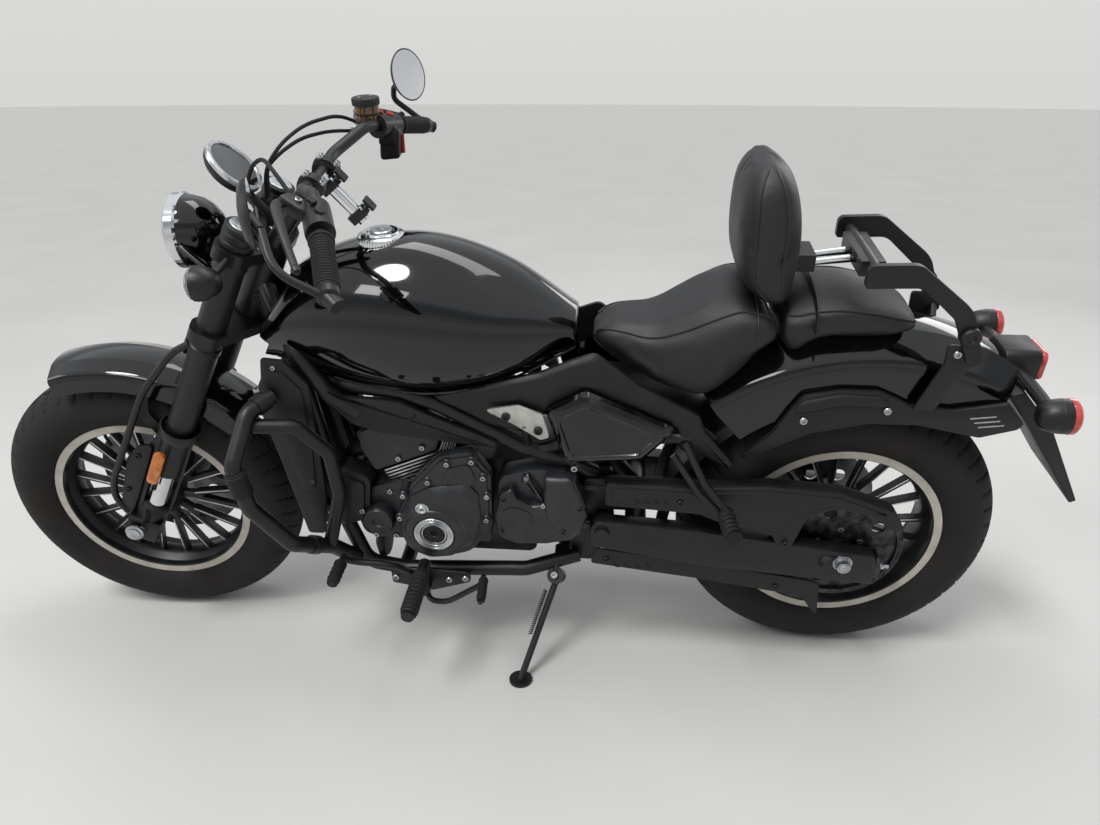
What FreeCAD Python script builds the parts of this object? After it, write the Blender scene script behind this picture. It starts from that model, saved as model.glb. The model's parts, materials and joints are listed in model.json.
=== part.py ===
import FreeCAD, Part
import math
import os
import re

from FreeCAD import Placement, Rotation, Vector

# A cruiser motorcycle leaning on its side stand, in millimetres.
# Pieces are drawn on the upright bike: X forward from the rear axle, Y to the left, Z up from the ground.
# Steered pieces are drawn along the steering axis, which is their own Z. A pose then leans and steers them.

SIZES = [
    ("wheelbase", 1485, "rear axle to front axle"),
    ("rakeAngle", 27.97, "steering axis from the vertical, degrees"),
    ("forkOffset", 57.8, "front axle ahead of the steering axis"),
    ("leanAngle", 10.96, "lean to the left on the side stand, degrees"),
    ("steerAngle", 3.49, "steering turned left at rest, degrees"),
    ("steerLock", 36, "steering turn each way from straight, degrees"),
    ("lockGap", 6, "between the steering and the tank at full lock"),
    ("fitGap", 0.3, "clearance between pieces that seat"),
    ("rearTyreRadius", 323, "150/80-16 tyre"),
    ("rearTyreWidth", 150, ""),
    ("rearCrown", 80, "radius across the rear tread"),
    ("frontTyreRadius", 320, "130/90-16 tyre"),
    ("frontTyreWidth", 130, ""),
    ("frontCrown", 68, "radius across the front tread"),
    ("rimSeatRadius", 203, "16 inch bead seat"),
    ("rimFlange", 11, "height of the rim flange over the seat"),
    ("rearRimWidth", 116, "over the flanges"),
    ("frontRimWidth", 90, "over the flanges"),
    ("spokeCount", 10, "forked spokes in each wheel"),
    ("spokeDepth", 22, "of a spoke, along the axle"),
    ("hubRadius", 36, ""),
    ("hubStep", 8, "shoulder that a disc or sprocket seats on"),
    ("axleDiameter", 20, ""),
    ("frontDiscRadius", 160, ""),
    ("rearDiscRadius", 110, ""),
    ("discThickness", 5, ""),
    ("frontDiscInset", 62, "front disc centre from the wheel's middle plane"),
    ("rearDiscInset", 86, "rear disc centre from the wheel's middle plane"),
    ("chainPitch", 15.875, ""),
    ("rearTeeth", 48, ""),
    ("driveTeeth", 15, ""),
    ("chainLine", 90, "chain centre from the bike's middle plane"),
    ("chainWidth", 17, "over the link plates"),
    ("linkPlate", 4, "link plates on one side of the chain"),
    ("sprocketThickness", 5, ""),
    ("driveShaftX", 590, ""),
    ("driveShaftZ", 415, ""),
    ("pivotX", 480, "swingarm pivot"),
    ("pivotZ", 372, ""),
    ("pivotBolt", 18, "diameter"),
    ("armInner", 104, "inner face of a swingarm leg from the middle plane"),
    ("armWidth", 36, ""),
    ("headTube", 64, "outer diameter"),
    ("stemDiameter", 36, ""),
    ("lowerClampZ", 860, "underside of the lower clamp, along the steering axis"),
    ("upperClampZ", 1040, "underside of the upper clamp"),
    ("clampThickness", 24, ""),
    ("forkSpread", 210, "between the fork legs"),
    ("clampOffset", 39, "fork legs ahead of the steering axis"),
    ("forkTube", 54, "outer tube diameter"),
    ("forkInner", 37, "inner tube diameter"),
    ("forkTubeBottom", 505, "along the steering axis"),
    ("capHeight", 40, "fork cap over the upper clamp"),
    ("guardTube", 68, "fork guard diameter"),
    ("guardWall", 3.5, ""),
    ("guardBottom", 345, ""),
    ("guardTop", 625, ""),
    ("barDiameter", 28, "handlebar"),
    ("gripDiameter", 35, ""),
    ("gripLength", 115, ""),
    ("railTube", 32, "main frame tubes"),
    ("backboneTube", 44, ""),
    ("seatRailTube", 24, ""),
    ("lowRailHalf", 110, "cradle tube from the middle plane"),
    ("pegDiameter", 28, "rider's foot peg"),
    ("pegLength", 115, "of the part that the foot rests on"),
    ("engineHalf", 108, "crankcase side from the middle plane"),
    ("chainSideHalf", 72, "crankcase side behind the left cover"),
    ("coverWall", 7, "sprocket cover wall"),
    ("leftCoverFace", 150, "left engine covers from the middle plane"),
    ("finCount", 6, ""),
    ("finPitch", 7.5, ""),
    ("finThickness", 3, ""),
    ("barrelHalf", 97, "finned barrel from the middle plane"),
    ("cylinderTilt", 23.8, "forward, degrees"),
    ("pipeDiameter", 38, "exhaust header"),
    ("silencerDiameter", 96, ""),
    ("radiatorHalf", 125, ""),
    ("radiatorHeight", 320, ""),
    ("radiatorThickness", 34, ""),
    ("guardBar", 32, "engine guard tube"),
    ("tankHalf", 152, ""),
    ("capDiameter", 88, "fuel cap"),
    ("seatHalf", 130, ""),
    ("pillionHalf", 105, ""),
    ("fenderHalf", 92, "rear fender from the middle plane"),
    ("frontFenderHalf", 75, ""),
    ("sheetWall", 3, "fender wall"),
    ("padHalf", 118, "backrest pad"),
    ("padThickness", 76, ""),
    ("lampRadius", 70, "headlamp"),
    ("dialRadius", 54, "instrument"),
    ("mirrorRadius", 52, ""),
    ("indicatorRadius", 30, ""),
    ("standTube", 22, ""),
    ("standFootX", 642, ""),
    ("standFootY", 263, ""),
    ("standPivotX", 572, ""),
    ("standPivotY", 110, ""),
    ("standPivotZ", 219, ""),
]

doc = FreeCAD.newDocument("CruiserMotorcycle")
sheet = doc.addObject("Spreadsheet::Sheet", "Sizes")
for row, (alias, value, meaning) in enumerate(SIZES, 1):
    sheet.set(f"A{row}", str(value))
    sheet.setAlias(f"A{row}", alias)
    sheet.set(f"B{row}", meaning)
doc.recompute()


class Dimensions:
    def __getattr__(self, alias):
        return float(sheet.get(alias))


d = Dimensions()
ALIASES = {alias for alias, value, meaning in SIZES}
VIA = "via"
nodes = []
upright = {}


# Binding and placing

def bind(item, **sizes):
    for key, text in sizes.items():
        bound = re.sub(r"[A-Za-z]\w*", lambda word: ("Sizes." if word.group() in ALIASES else "") + word.group(), text)
        item.setExpression(key, bound)
    return item


def place(x=0, y=0, z=0, axis=(0, 0, 1), angle=0):
    return Placement(Vector(x, y, z), Rotation(Vector(*axis), angle))


def towards(start, end):
    start, end = Vector(*start), Vector(*end)
    return Placement(start, Rotation(Vector(0, 0, 1), end - start))


def rod(name, start, end, diameter):
    item = doc.addObject("Part::Cylinder", name)
    bind(item, Radius=f"({diameter}) / 2")
    item.Height = (Vector(*end) - Vector(*start)).Length
    item.Placement = towards(start, end)
    return item


def block(name, low, high):
    item = doc.addObject("Part::Box", name)
    item.Length, item.Width, item.Height = (high[i] - low[i] for i in range(3))
    item.Placement = place(*low)
    return item


def ball(name, centre, radius):
    item = doc.addObject("Part::Sphere", name)
    bind(item, Radius=radius)
    item.Placement = place(*centre)
    return item


# Outlines: (u, v) is a corner, (u, v, radius) a rounded one and (u, v, VIA) a point on an arc

def corner_cut(before, at, after, radius):
    to_before, to_after = (before - at).normalize(), (after - at).normalize()
    half = to_before.getAngle(to_after) / 2
    shorter = min((before - at).Length, (after - at).Length)
    radius = min(radius, 0.48 * shorter * math.tan(half))
    reach = radius / math.tan(half)
    centre = at + (to_before + to_after).normalize() * (radius / math.sin(half))
    middle = centre + (at - centre).normalize() * radius
    return at + to_before * reach, middle, at + to_after * reach


def outline_edges(points):
    spots = [Vector(p[0], p[1], 0) for p in points]
    marks = [p[2] if len(p) > 2 else 0 for p in points]
    count = len(points)
    cuts = []
    for i in range(count):
        if marks[i] and marks[i] != VIA:
            cuts.append(corner_cut(spots[i - 1], spots[i], spots[(i + 1) % count], marks[i]))
        else:
            cuts.append((spots[i], None, spots[i]))
    edges = []
    for i in range(count):
        if marks[i] == VIA:
            edges.append(Part.Arc(cuts[i - 1][2], spots[i], cuts[(i + 1) % count][0]))
            continue
        enter, middle, leave = cuts[i]
        if middle:
            edges.append(Part.Arc(enter, middle, leave))
        following = (i + 1) % count
        if marks[following] != VIA and (cuts[following][0] - leave).Length > 1e-6:
            edges.append(Part.LineSegment(leave, cuts[following][0]))
    return edges


def drawn(name, points, at):
    sketch = doc.addObject("Sketcher::SketchObject", name)
    sketch.addGeometry(outline_edges(points))
    sketch.Placement = at
    return sketch


def extruded(name, sketch, length):
    item = doc.addObject("Part::Extrusion", name)
    item.Base = sketch
    item.DirMode = "Normal"
    bind(item, LengthFwd=length)
    item.Solid = True
    return item


# A side view outline (x, z), its outer face at y, going inwards
def plate(name, outline, thickness, y):
    return extruded(name, drawn(name + "Sketch", outline, place(0, y, 0, (1, 0, 0), 90)), thickness)


# A top view outline (x, y), going up from z
def slab(name, outline, thickness, z):
    return extruded(name, drawn(name + "Sketch", outline, place(0, 0, z)), thickness)


# A front view outline (y, z), going forward from x
def crosswise(name, outline, length, x):
    return extruded(name, drawn(name + "Sketch", outline, place(x, 0, 0, (1, 1, 1), 120)), length)


# A profile (radius, y) turned about the Y axis of its placement
def turned(name, profile, at=Placement(), angle=360):
    item = doc.addObject("Part::Revolution", name)
    item.Source = drawn(name + "Sketch", profile, Placement())
    item.Axis = Vector(0, 1, 0)
    item.Angle = angle
    item.Solid = True
    item.Placement = at
    return item


def lofted(name, sections, ruled=False):
    item = doc.addObject("Part::Loft", name)
    item.Sections = sections
    item.Solid = True
    item.Ruled = ruled
    return item


# A tube through points, with an arc of the bend radius at each turn
def bent(name, points, diameter, bend):
    spots = [Vector(*p) for p in points]
    edges, last = [], spots[0]
    for before, at, after in zip(spots, spots[1:], spots[2:]):
        enter, middle, leave = corner_cut(before, at, after, bend)
        edges += [Part.LineSegment(last, enter).toShape(), Part.Arc(enter, middle, leave).toShape()]
        last = leave
    edges.append(Part.LineSegment(last, spots[-1]).toShape())
    path = doc.addObject("Part::Feature", name + "Path")
    path.Shape = Part.Wire(edges)
    ring = doc.addObject("Part::Circle", name + "Ring")
    bind(ring, Radius=f"({diameter}) / 2")
    ring.Placement = Placement(spots[0], Rotation(Vector(0, 0, 1), spots[1] - spots[0]))
    item = doc.addObject("Part::Sweep", name)
    item.Sections = [ring]
    item.Spine = (path, [])
    item.Solid = True
    item.Frenet = False
    return item


def joined(name, items):
    if len(items) == 1:
        return items[0]
    item = doc.addObject("Part::MultiFuse", name)
    item.Shapes = items
    return item


# Tubes that cross one another, fused one at a time
def welded(name, items):
    whole = items[0]
    for i, item in enumerate(items[1:]):
        fused = doc.addObject("Part::Fuse", f"{name}{i}")
        fused.Base, fused.Tool = whole, item
        whole = fused
    return whole


def less(name, base, tools):
    item = doc.addObject("Part::Cut", name)
    item.Base = base
    item.Tool = joined(name + "Tools", tools)
    return item


def shared(name, first, second):
    item = doc.addObject("Part::Common", name)
    item.Base, item.Tool = first, second
    return item


def mirrored(item):
    copy = doc.addObject("Part::Mirroring", item.Name + "Right")
    copy.Source = item
    copy.Base = Vector(0, 0, 0)
    copy.Normal = Vector(0, 1, 0)
    return copy


def both(items):
    return items + [mirrored(item) for item in items]


def moved(name, item, at):
    copy = doc.addObject("Part::Compound", name)
    copy.Links = [item]
    copy.Placement = at
    return copy


# A named piece of the bike, cut back where it meets the pieces it is clear of
def node(label, items, pose, clear_of=()):
    for other in clear_of:
        items = [less(f"{label}{i}Clear_{other}", item, [upright[other]]) for i, item in enumerate(items)]
    whole = doc.addObject("Part::Compound", label + "Upright")
    whole.Links = items
    upright[label] = whole
    item = doc.addObject("Part::Compound", label)
    item.Label = label
    item.Links = [whole]
    nodes.append((item, pose))


# Poses

def lowest(pose, centre, axle, radius, crown):
    middle, along = pose.multVec(centre), pose.Rotation.multVec(axle)
    return middle.z - (radius - crown) * math.sqrt(1 - along.z ** 2) - crown


rake = math.radians(d.rakeAngle)
trail = (d.frontTyreRadius * math.sin(rake) - d.forkOffset) / math.cos(rake)
axle_height = trail * math.sin(rake) + d.frontTyreRadius * math.cos(rake)
steer_origin = Vector(d.wheelbase + trail, 0, 0)
fork_frame = Placement(steer_origin, Rotation(Vector(0, 1, 0), -d.rakeAngle))
steered = fork_frame * place(angle=d.steerAngle)
rear_axle = Vector(0, 0, d.rearTyreRadius)
front_axle = Vector(d.forkOffset, 0, axle_height)
across = Vector(0, 1, 0)


def leaning_pose():
    pose = place(axis=(1, 0, 0), angle=-d.leanAngle)
    for turn in range(4):
        rear = lowest(pose, rear_axle, across, d.rearTyreRadius, d.rearCrown)
        front = lowest(pose * steered, front_axle, across, d.frontTyreRadius, d.frontCrown)
        pitch = math.degrees(math.asin((front - rear) / d.wheelbase))
        pose = Placement(pose.Base - Vector(0, 0, rear), Rotation(Vector(0, 1, 0), pitch) * pose.Rotation)
    return pose


lean = leaning_pose()
steer = lean * steered


# Steered point in the fork's frame, seen from the upright bike
def from_fork(x, y, z):
    return fork_frame.multVec(Vector(x, y, z))


# Wheels

def tyre(label, radius, width, crown, rim_width, at, pose):
    seat = d.rimSeatRadius + d.fitGap
    flange = d.rimSeatRadius + d.rimFlange + d.fitGap
    inner = rim_width / 2 - 6 - d.fitGap
    shoulder = width * 0.42
    shoulder_radius = radius - crown + math.sqrt(crown ** 2 - shoulder ** 2)
    half = [(seat, inner - 4), (flange, inner), (flange, rim_width / 2)]
    bulge = (flange + (shoulder_radius - flange) * 0.55, width / 2)
    profile = [(r, -y) for r, y in half] + [(bulge[0], -bulge[1], VIA), (shoulder_radius, -shoulder)]
    profile += [(radius, 0, VIA), (shoulder_radius, shoulder), (bulge[0], bulge[1], VIA)]
    profile += [(r, y) for r, y in reversed(half)]
    node(label, [turned(label + "Turned", profile, Placement(at, Rotation()))], pose)


def base_plane(body, role):
    return [feature for feature in body.Origin.OriginFeatures if feature.Role == role][0]


def body_sketch(body, name, role, points):
    sketch = body.newObject("Sketcher::SketchObject", name)
    sketch.AttachmentSupport = [(base_plane(body, role), "")]
    sketch.MapMode = "FlatFace"
    sketch.addGeometry(outline_edges(points))
    return sketch


def turned_feature(body, name, profile):
    feature = body.newObject("PartDesign::Revolution", name)
    feature.Profile = body_sketch(body, name + "Profile", "XY_Plane", profile)
    feature.ReferenceAxis = (feature.Profile[0], ["V_Axis"])
    feature.Angle = 360
    doc.recompute()
    return feature


# A cast wheel: the hub, forked spokes round it, and the rim they reach
def cast_wheel(label, rim_width, hub_left, hub_right, seat_left, seat_right, at, pose):
    body = doc.addObject("PartDesign::Body", label + "Body")
    bore, neck = d.axleDiameter / 2 + d.fitGap, d.hubRadius - d.hubStep
    turned_feature(body, label + "Hub", [(bore, -hub_right), (neck, -hub_right), (neck, -seat_right),
                                         (d.hubRadius, -seat_right), (d.hubRadius, seat_left), (neck, seat_left),
                                         (neck, hub_left), (bore, hub_left)])
    well = d.rimSeatRadius - 20
    fork_start, tip = well * 0.52, well + 3
    spread = tip * math.sin(math.radians(9))
    half = [(d.hubRadius - 8, 8), (fork_start, 7), (tip, spread + 5), (tip, spread - 5)]
    outline = [(x, -y) for x, y in half] + [(fork_start + 18, 0)] + [(x, y) for x, y in reversed(half)]
    pad = body.newObject("PartDesign::Pad", label + "Spoke")
    pad.Profile = body_sketch(body, label + "SpokeSketch", "XZ_Plane", outline)
    pad.SideType = "Symmetric"
    bind(pad, Length="spokeDepth")
    ring = body.newObject("PartDesign::PolarPattern", label + "Spokes")
    ring.Originals = [pad]
    ring.Axis = (base_plane(body, "Y_Axis"), [""])
    ring.Angle = 360
    bind(ring, Occurrences="spokeCount")
    body.Tip = ring
    doc.recompute()
    seat, lip, edge = d.rimSeatRadius, d.rimSeatRadius + d.rimFlange, rim_width / 2
    half = [(lip, edge), (lip, edge - 6), (seat, edge - 10), (seat, edge - 24), (well + 9, edge - 32)]
    inner = [(seat - 8, edge), (seat - 8, edge - 18), (well, edge - 30)]
    profile = [(r, -y) for r, y in half] + [(r, y) for r, y in reversed(half)]
    profile += inner + [(r, -y) for r, y in reversed(inner)]
    turned_feature(body, label + "Rim", profile)
    node(label, [moved(label + "Placed", body, Placement(at, Rotation()))], pose)


def ring_of_holes(name, count, circle, diameter, length, at, y):
    holes = []
    for i in range(count):
        turn = math.radians(360 * i / count)
        x, z = at.x + circle * math.cos(turn), at.z + circle * math.sin(turn)
        holes.append(rod(f"{name}{i}", (x, y, z), (x, y + length, z), diameter))
    return holes


def disc(label, radius, centre_y, band, at, pose):
    half = d.discThickness / 2
    bore = d.hubRadius - d.hubStep + d.fitGap
    ring = turned(label + "Ring", [(bore, -half), (radius, -half), (radius, half), (bore, half)],
                  place(at.x, centre_y, at.z))
    windows = ring_of_holes(label + "Window", 6, radius - band - 22, "30", 20, at, centre_y - 10)
    node(label, [less(label + "Cut", ring, windows)], pose)


def wheels():
    tyre("rear_tyre", d.rearTyreRadius, d.rearTyreWidth, d.rearCrown, d.rearRimWidth, rear_axle, lean)
    tyre("front_tyre", d.frontTyreRadius, d.frontTyreWidth, d.frontCrown, d.frontRimWidth, front_axle, steer)
    seat = d.discThickness / 2 + d.fitGap
    sprocket_seat = d.chainLine - d.sprocketThickness / 2 - 6 - d.fitGap
    cast_wheel("rear_rim", d.rearRimWidth, 97, 97, sprocket_seat, d.rearDiscInset - seat, rear_axle, lean)
    cast_wheel("front_rim", d.frontRimWidth, 68, 68, 60, d.frontDiscInset - seat, front_axle, steer)
    disc("front_disc", d.frontDiscRadius, -d.frontDiscInset, 40, front_axle, steer)
    disc("rear_disc", d.rearDiscRadius, -d.rearDiscInset, 30, rear_axle, lean)


def pitch_radius(teeth):
    return d.chainPitch / 2 / math.sin(math.pi / teeth)


def rear_sprocket():
    root = pitch_radius(d.rearTeeth) - 5
    half = d.sprocketThickness / 2
    bore = d.hubRadius - d.hubStep + d.fitGap
    outline = [(bore, -half - 6), (60, -half - 6), (60, -half), (root, -half), (root, half), (bore, half)]
    wheel = turned("SprocketTurned", outline, place(0, d.chainLine, rear_axle.z))
    teeth = []
    for i in range(int(d.rearTeeth)):
        tooth = turned_tooth(f"Tooth{i}", root, 360 * i / d.rearTeeth)
        teeth.append(tooth)
    windows = ring_of_holes("SprocketWindow", 5, root - 28, "26", 40, rear_axle, d.chainLine - 20)
    whole = joined("SprocketToothed", [wheel] + teeth)
    node("rear_sprocket", [less("SprocketCut", whole, windows)], lean)


def turned_tooth(name, root, angle):
    half = d.sprocketThickness / 2
    points = [(-3, root - 2), (3, root - 2), (1.5, root + 9), (-1.5, root + 9)]
    at = place(0, d.chainLine + half, rear_axle.z, (0, 1, 0), angle) * place(axis=(1, 0, 0), angle=90)
    return extruded(name, drawn(name + "Sketch", points, at), "sprocketThickness")


# Drive chain: a closed loop of two link plates, joined by rollers on its two straight runs

def chain_run(sign, offset):
    big, small = pitch_radius(d.rearTeeth), pitch_radius(d.driveTeeth)
    rear, drive = Vector(0, 0, d.rearTyreRadius), Vector(d.driveShaftX, 0, d.driveShaftZ)
    gap = drive - rear
    heading, swing = math.atan2(gap.z, gap.x), math.acos((big - small) / gap.Length)
    normal = Vector(math.cos(heading + sign * swing), 0, math.sin(heading + sign * swing))
    return rear + normal * (big + offset), drive + normal * (small + offset)


def chain_loop(name, offset, y, thickness):
    big, small = pitch_radius(d.rearTeeth) + offset, pitch_radius(d.driveTeeth) + offset
    top_rear, top_drive = chain_run(1, offset)
    low_rear, low_drive = chain_run(-1, offset)
    gap = Vector(d.driveShaftX, 0, d.driveShaftZ - d.rearTyreRadius).normalize()
    back = Vector(0, 0, d.rearTyreRadius) - gap * big
    nose = Vector(d.driveShaftX, 0, d.driveShaftZ) + gap * small
    outline = [(top_rear.x, top_rear.z), (top_drive.x, top_drive.z), (nose.x, nose.z, VIA),
               (low_drive.x, low_drive.z), (low_rear.x, low_rear.z), (back.x, back.z, VIA)]
    return plate(name, outline, thickness, y)


def drive_chain():
    height, plate_width = 6, d.linkPlate
    outer = d.chainLine + d.chainWidth / 2
    bands = []
    for i, y in enumerate((outer, d.chainLine - d.chainWidth / 2 + plate_width)):
        whole = chain_loop(f"ChainOuter{i}", height, y, str(plate_width))
        hole = chain_loop(f"ChainInner{i}", -height, y + 1, str(plate_width + 2))
        bands.append(less(f"ChainBand{i}", whole, [hole]))
    rollers = []
    for side, sign in enumerate((1, -1)):
        start, end = chain_run(sign, 0)
        step = (end - start).normalize() * d.chainPitch * 2
        for i in range(2, int((end - start).Length / step.Length)):
            at = start + step * i
            rollers.append(rod(f"Roller{side}_{i}", (at.x, outer - 1, at.z), (at.x, outer - d.chainWidth + 1, at.z),
                               "8"))
    node("drive_chain", [joined("ChainWhole", bands + rollers)], lean)


# Frame

def head_tube():
    low, high = d.lowerClampZ + d.clampThickness + 2, d.upperClampZ - 2
    outer = rod("HeadOuter", from_fork(0, 0, low), from_fork(0, 0, high), "headTube")
    bore = rod("HeadBore", from_fork(0, 0, low - 5), from_fork(0, 0, high + 5), "stemDiameter + 2 * fitGap")
    return outer, bore


def frame_upper():
    outer, bore = head_tube()
    neck, low_neck = from_fork(0, 0, d.upperClampZ - 60), from_fork(0, 0, d.lowerClampZ + 75)
    backbone = bent("Backbone", [low_neck, (1040, 0, 655), (880, 0, 640), (560, 0, 578)], "backboneTube", 90)
    rail = bent("Rail", [(1060, 0, 672), (985, 84, 668), (870, 100, 668), (801, 100, 643), (644, 100, 553),
                         (560, 96, 520), (500, 74, 474)], "railTube", 60)
    side = bent("SideTube", [(neck.x, 12, neck.z - 20), (1060, 98, 744), (1003, 112, 660), (950, 113, 622)],
                "railTube", 60)
    pivot_plate = plate("PivotPlate", [(455, 330, 8), (462, 484, 8), (556, 484, 8), (556, 330, 8), (540, 240, 8), (500, 240, 8)],
                        "10", 76)
    seat_rail = bent("SeatRail", [(620, 98, 540), (545, 98, 562), (420, 108, 585), (318, 112, 592)],
                     "seatRailTube", 50)
    bridge = rod("SeatBridge", (560, -98, 560), (560, 98, 560), "seatRailTube")
    lugs = both([rod("PivotLug", (d.pivotX, 76, d.pivotZ), (d.pivotX, d.armInner - d.fitGap, d.pivotZ), "28")])
    reach = d.armInner + d.armWidth
    shaft = rod("PivotShaft", (d.pivotX, -reach, d.pivotZ), (d.pivotX, reach, d.pivotZ), "pivotBolt")
    heads = both([rod("PivotHead", (d.pivotX, reach + d.fitGap, d.pivotZ), (d.pivotX, reach + 9, d.pivotZ), "30"),
                  rod("PivotThread", (d.pivotX, reach - 1, d.pivotZ), (d.pivotX, reach + 8, d.pivotZ), "pivotBolt")])
    tubes = both([rail, side, seat_rail, pivot_plate])
    tyre_room = turned("TyreRoom", [(0, -85), (345, -85), (345, 85), (0, 85)], Placement(rear_axle, Rotation()))
    whole = welded("UpperWeld", [outer, backbone] + tubes + [bridge, shaft] + lugs + heads)
    node("frame_upper", [less("UpperCut", whole, [bore, tyre_room])], lean)


def frame_cradle():
    top = from_fork(0, 0, d.lowerClampZ + 90)
    half = d.lowRailHalf
    tube = bent("DownTube", [(top.x - 6, 20, top.z - 10), (1068, 62, 635), (1022, 92, 330), (985, half, 236),
                             (900, half, 222), (640, half, 236), (528, 84, 260)], "railTube", 45)
    bridges = [rod("LowBridge", (905, -half, 222), (905, half, 222), "railTube"),
               rod("RearBridge", (560, -95, 252), (560, 95, 252), "railTube")]
    pivot, turn = stand_pivot()
    link = rod("StandLink", pivot.multVec(Vector(0, 0, 8)), pivot.multVec(Vector(0, 0, 21)), "36")
    pin = rod("StandPin", pivot.multVec(Vector(0, 0, -12)), pivot.multVec(Vector(0, 0, 10)), "16")
    head = rod("StandPinHead", pivot.multVec(Vector(0, 0, -14)), pivot.multVec(Vector(0, 0, -8)), "26")
    arm = bent("StandArm", [pivot.multVec(Vector(0, 0, 17)), (574, 96, 255), (574, 60, 258)], "14", 8)
    whole = joined("CradleWhole", both([tube]) + bridges + [link, pin, head, arm])
    cut = less("CradleCut", whole, [doc.getObject("HeadOuter")])
    node("frame_cradle", [cut], lean, ["frame_upper"])


def swingarm():
    outline = [(505, 398, 25), (284, 384, 200), (-66, 338, 14), (-72, 262, 14), (277, 292, 200), (505, 332, 25)]
    arm = plate("Arm", outline, "armWidth", d.armInner + d.armWidth)
    cross = rod("ArmCross", (412, -d.armInner - 2, 358), (412, d.armInner + 2, 358), "44")
    bolt = rod("ArmAxleHole", (0, 50, rear_axle.z), (0, 200, rear_axle.z), "axleDiameter + 2 * fitGap")
    pivot = rod("ArmPivotHole", (d.pivotX, 50, d.pivotZ), (d.pivotX, 200, d.pivotZ), "pivotBolt + 2 * fitGap")
    legs = both([less("ArmDrilled", arm, [bolt, pivot])])
    node("swingarm", [joined("ArmWhole", legs + [cross])], lean)
    reach = d.armInner + d.armWidth + d.fitGap
    shaft = rod("RearShaft", (0, -reach - 12, rear_axle.z), (0, reach + 12, rear_axle.z), "axleDiameter")
    nuts = both([rod("AxleWasher", (0, reach, rear_axle.z), (0, reach + 4, rear_axle.z), "34"),
                 rod("AxleNut", (0, reach + 3, rear_axle.z), (0, reach + 18, rear_axle.z), "26")])
    spacers = both([rod("AxleSpacer", (0, 98, rear_axle.z), (0, d.armInner - d.fitGap, rear_axle.z), "30")])
    node("rear_axle", [joined("RearAxleWhole", [shaft] + nuts + spacers)], lean)


# Engine

def crankcase():
    outline = [(548, 305, 20), (548, 470, 25), (700, 500, 20), (800, 462), (900, 455, 20), (985, 425, 40),
               (970, 305, 20)]
    wide = plate("CaseWide", outline, "chainSideHalf + engineHalf", d.chainSideHalf)
    front = [(712, 305, 10), (712, 480, 10), (800, 462), (900, 455, 20), (985, 425, 40), (970, 305, 20)]
    sump = plate("Sump", [(620, 250, 20), (620, 320), (900, 320), (900, 250, 20)], "140", 70)
    side = plate("CaseSide", front, "engineHalf - chainSideHalf + 1", d.engineHalf)
    shaft = rod("DriveShaft", (d.driveShaftX, 60, d.driveShaftZ), (d.driveShaftX, d.chainLine + 8, d.driveShaftZ),
                "24")
    half = d.chainWidth / 2 - d.linkPlate - d.fitGap
    tip = pitch_radius(d.driveTeeth) + 3
    sprocket = turned("DriveSprocket", [(0, -half), (tip, -half), (tip, half), (0, half)],
                      place(d.driveShaftX, d.chainLine, d.driveShaftZ))
    node("engine_cases", [joined("CaseWhole", [wide, side, sump, shaft, sprocket])], lean, ["frame_upper"])


cylinder_frame = place(850, 0, 455, (0, 1, 0), d.cylinderTilt)


def engine_cylinder():
    core = block("BarrelCore", (-60, -d.barrelHalf + 8, 3), (60, d.barrelHalf - 8, 60))
    pieces = [core]
    for i in range(int(d.finCount)):
        z = 8 + i * d.finPitch
        outline = [(-68, -d.barrelHalf, 14), (68, -d.barrelHalf, 14), (68, d.barrelHalf, 14), (-68, d.barrelHalf, 14)]
        pieces.append(slab(f"Fin{i}", outline, "finThickness", z))
    head = [(-70, 56, 6), (74, 56, 6), (74, 112, 8), (58, 148, 16), (-50, 148, 16), (-70, 118, 8)]
    pieces.append(plate("Head", head, "2 * barrelHalf + 6", d.barrelHalf + 3))
    whole = joined("CylinderWhole", pieces)
    placed = moved("CylinderPlaced", whole, cylinder_frame)
    case = doc.getObject("CaseWhole")
    node("engine_cylinder", [less("CylinderCut", placed, [case])], lean)


def left_covers():
    outline = [(893, 350, 20), (893, 400, 20), (862, 470, 12), (800, 541, 16), (734, 556, 14), (698, 501, 16),
               (701, 373, 30), (750, 300, 40), (850, 268, 60)]
    cover = plate("AlternatorPlate", outline, "leftCoverFace - engineHalf - fitGap", d.leftCoverFace)
    boss = turned("AlternatorBoss", [(0, 0), (64, 0), (60, 20), (42, 22), (40, 16), (0, 16)],
                  place(818, d.leftCoverFace - 1, 368))
    node("alternator_cover", [joined("AlternatorWhole", [cover, boss])], lean)
    outline = [(690, 372, 14), (690, 470, 20), (679, 492, 14), (620, 507, 20), (545, 507, 24), (514, 436, 14),
               (520, 371, 14), (564, 333, 20), (650, 336, 24)]
    inner = [(682, 384), (680, 468), (624, 498), (550, 498), (500, 500), (500, 330), (575, 342), (650, 346)]
    outer = plate("SprocketCoverOuter", outline, "leftCoverFace - chainSideHalf - fitGap", d.leftCoverFace)
    room = plate("SprocketCoverRoom", inner, "leftCoverFace - coverWall", d.leftCoverFace - d.coverWall)
    node("sprocket_cover", [less("SprocketCoverCut", outer, [room])], lean, ["frame_upper"])


def clutch_cover():
    outline = [(600, 330, 30), (600, 470, 40), (720, 500, 30), (860, 470, 40), (900, 380, 40), (860, 290, 40),
               (700, 290, 50)]
    cover = plate("ClutchPlate", outline, "44", -d.engineHalf - d.fitGap)
    dome = turned("ClutchDome", [(0, 0), (78, 0), (70, -16), (0, -16)], place(690, -d.engineHalf - 44, 395))
    node("clutch_cover", [joined("ClutchWhole", [cover, dome])], lean)


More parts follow.
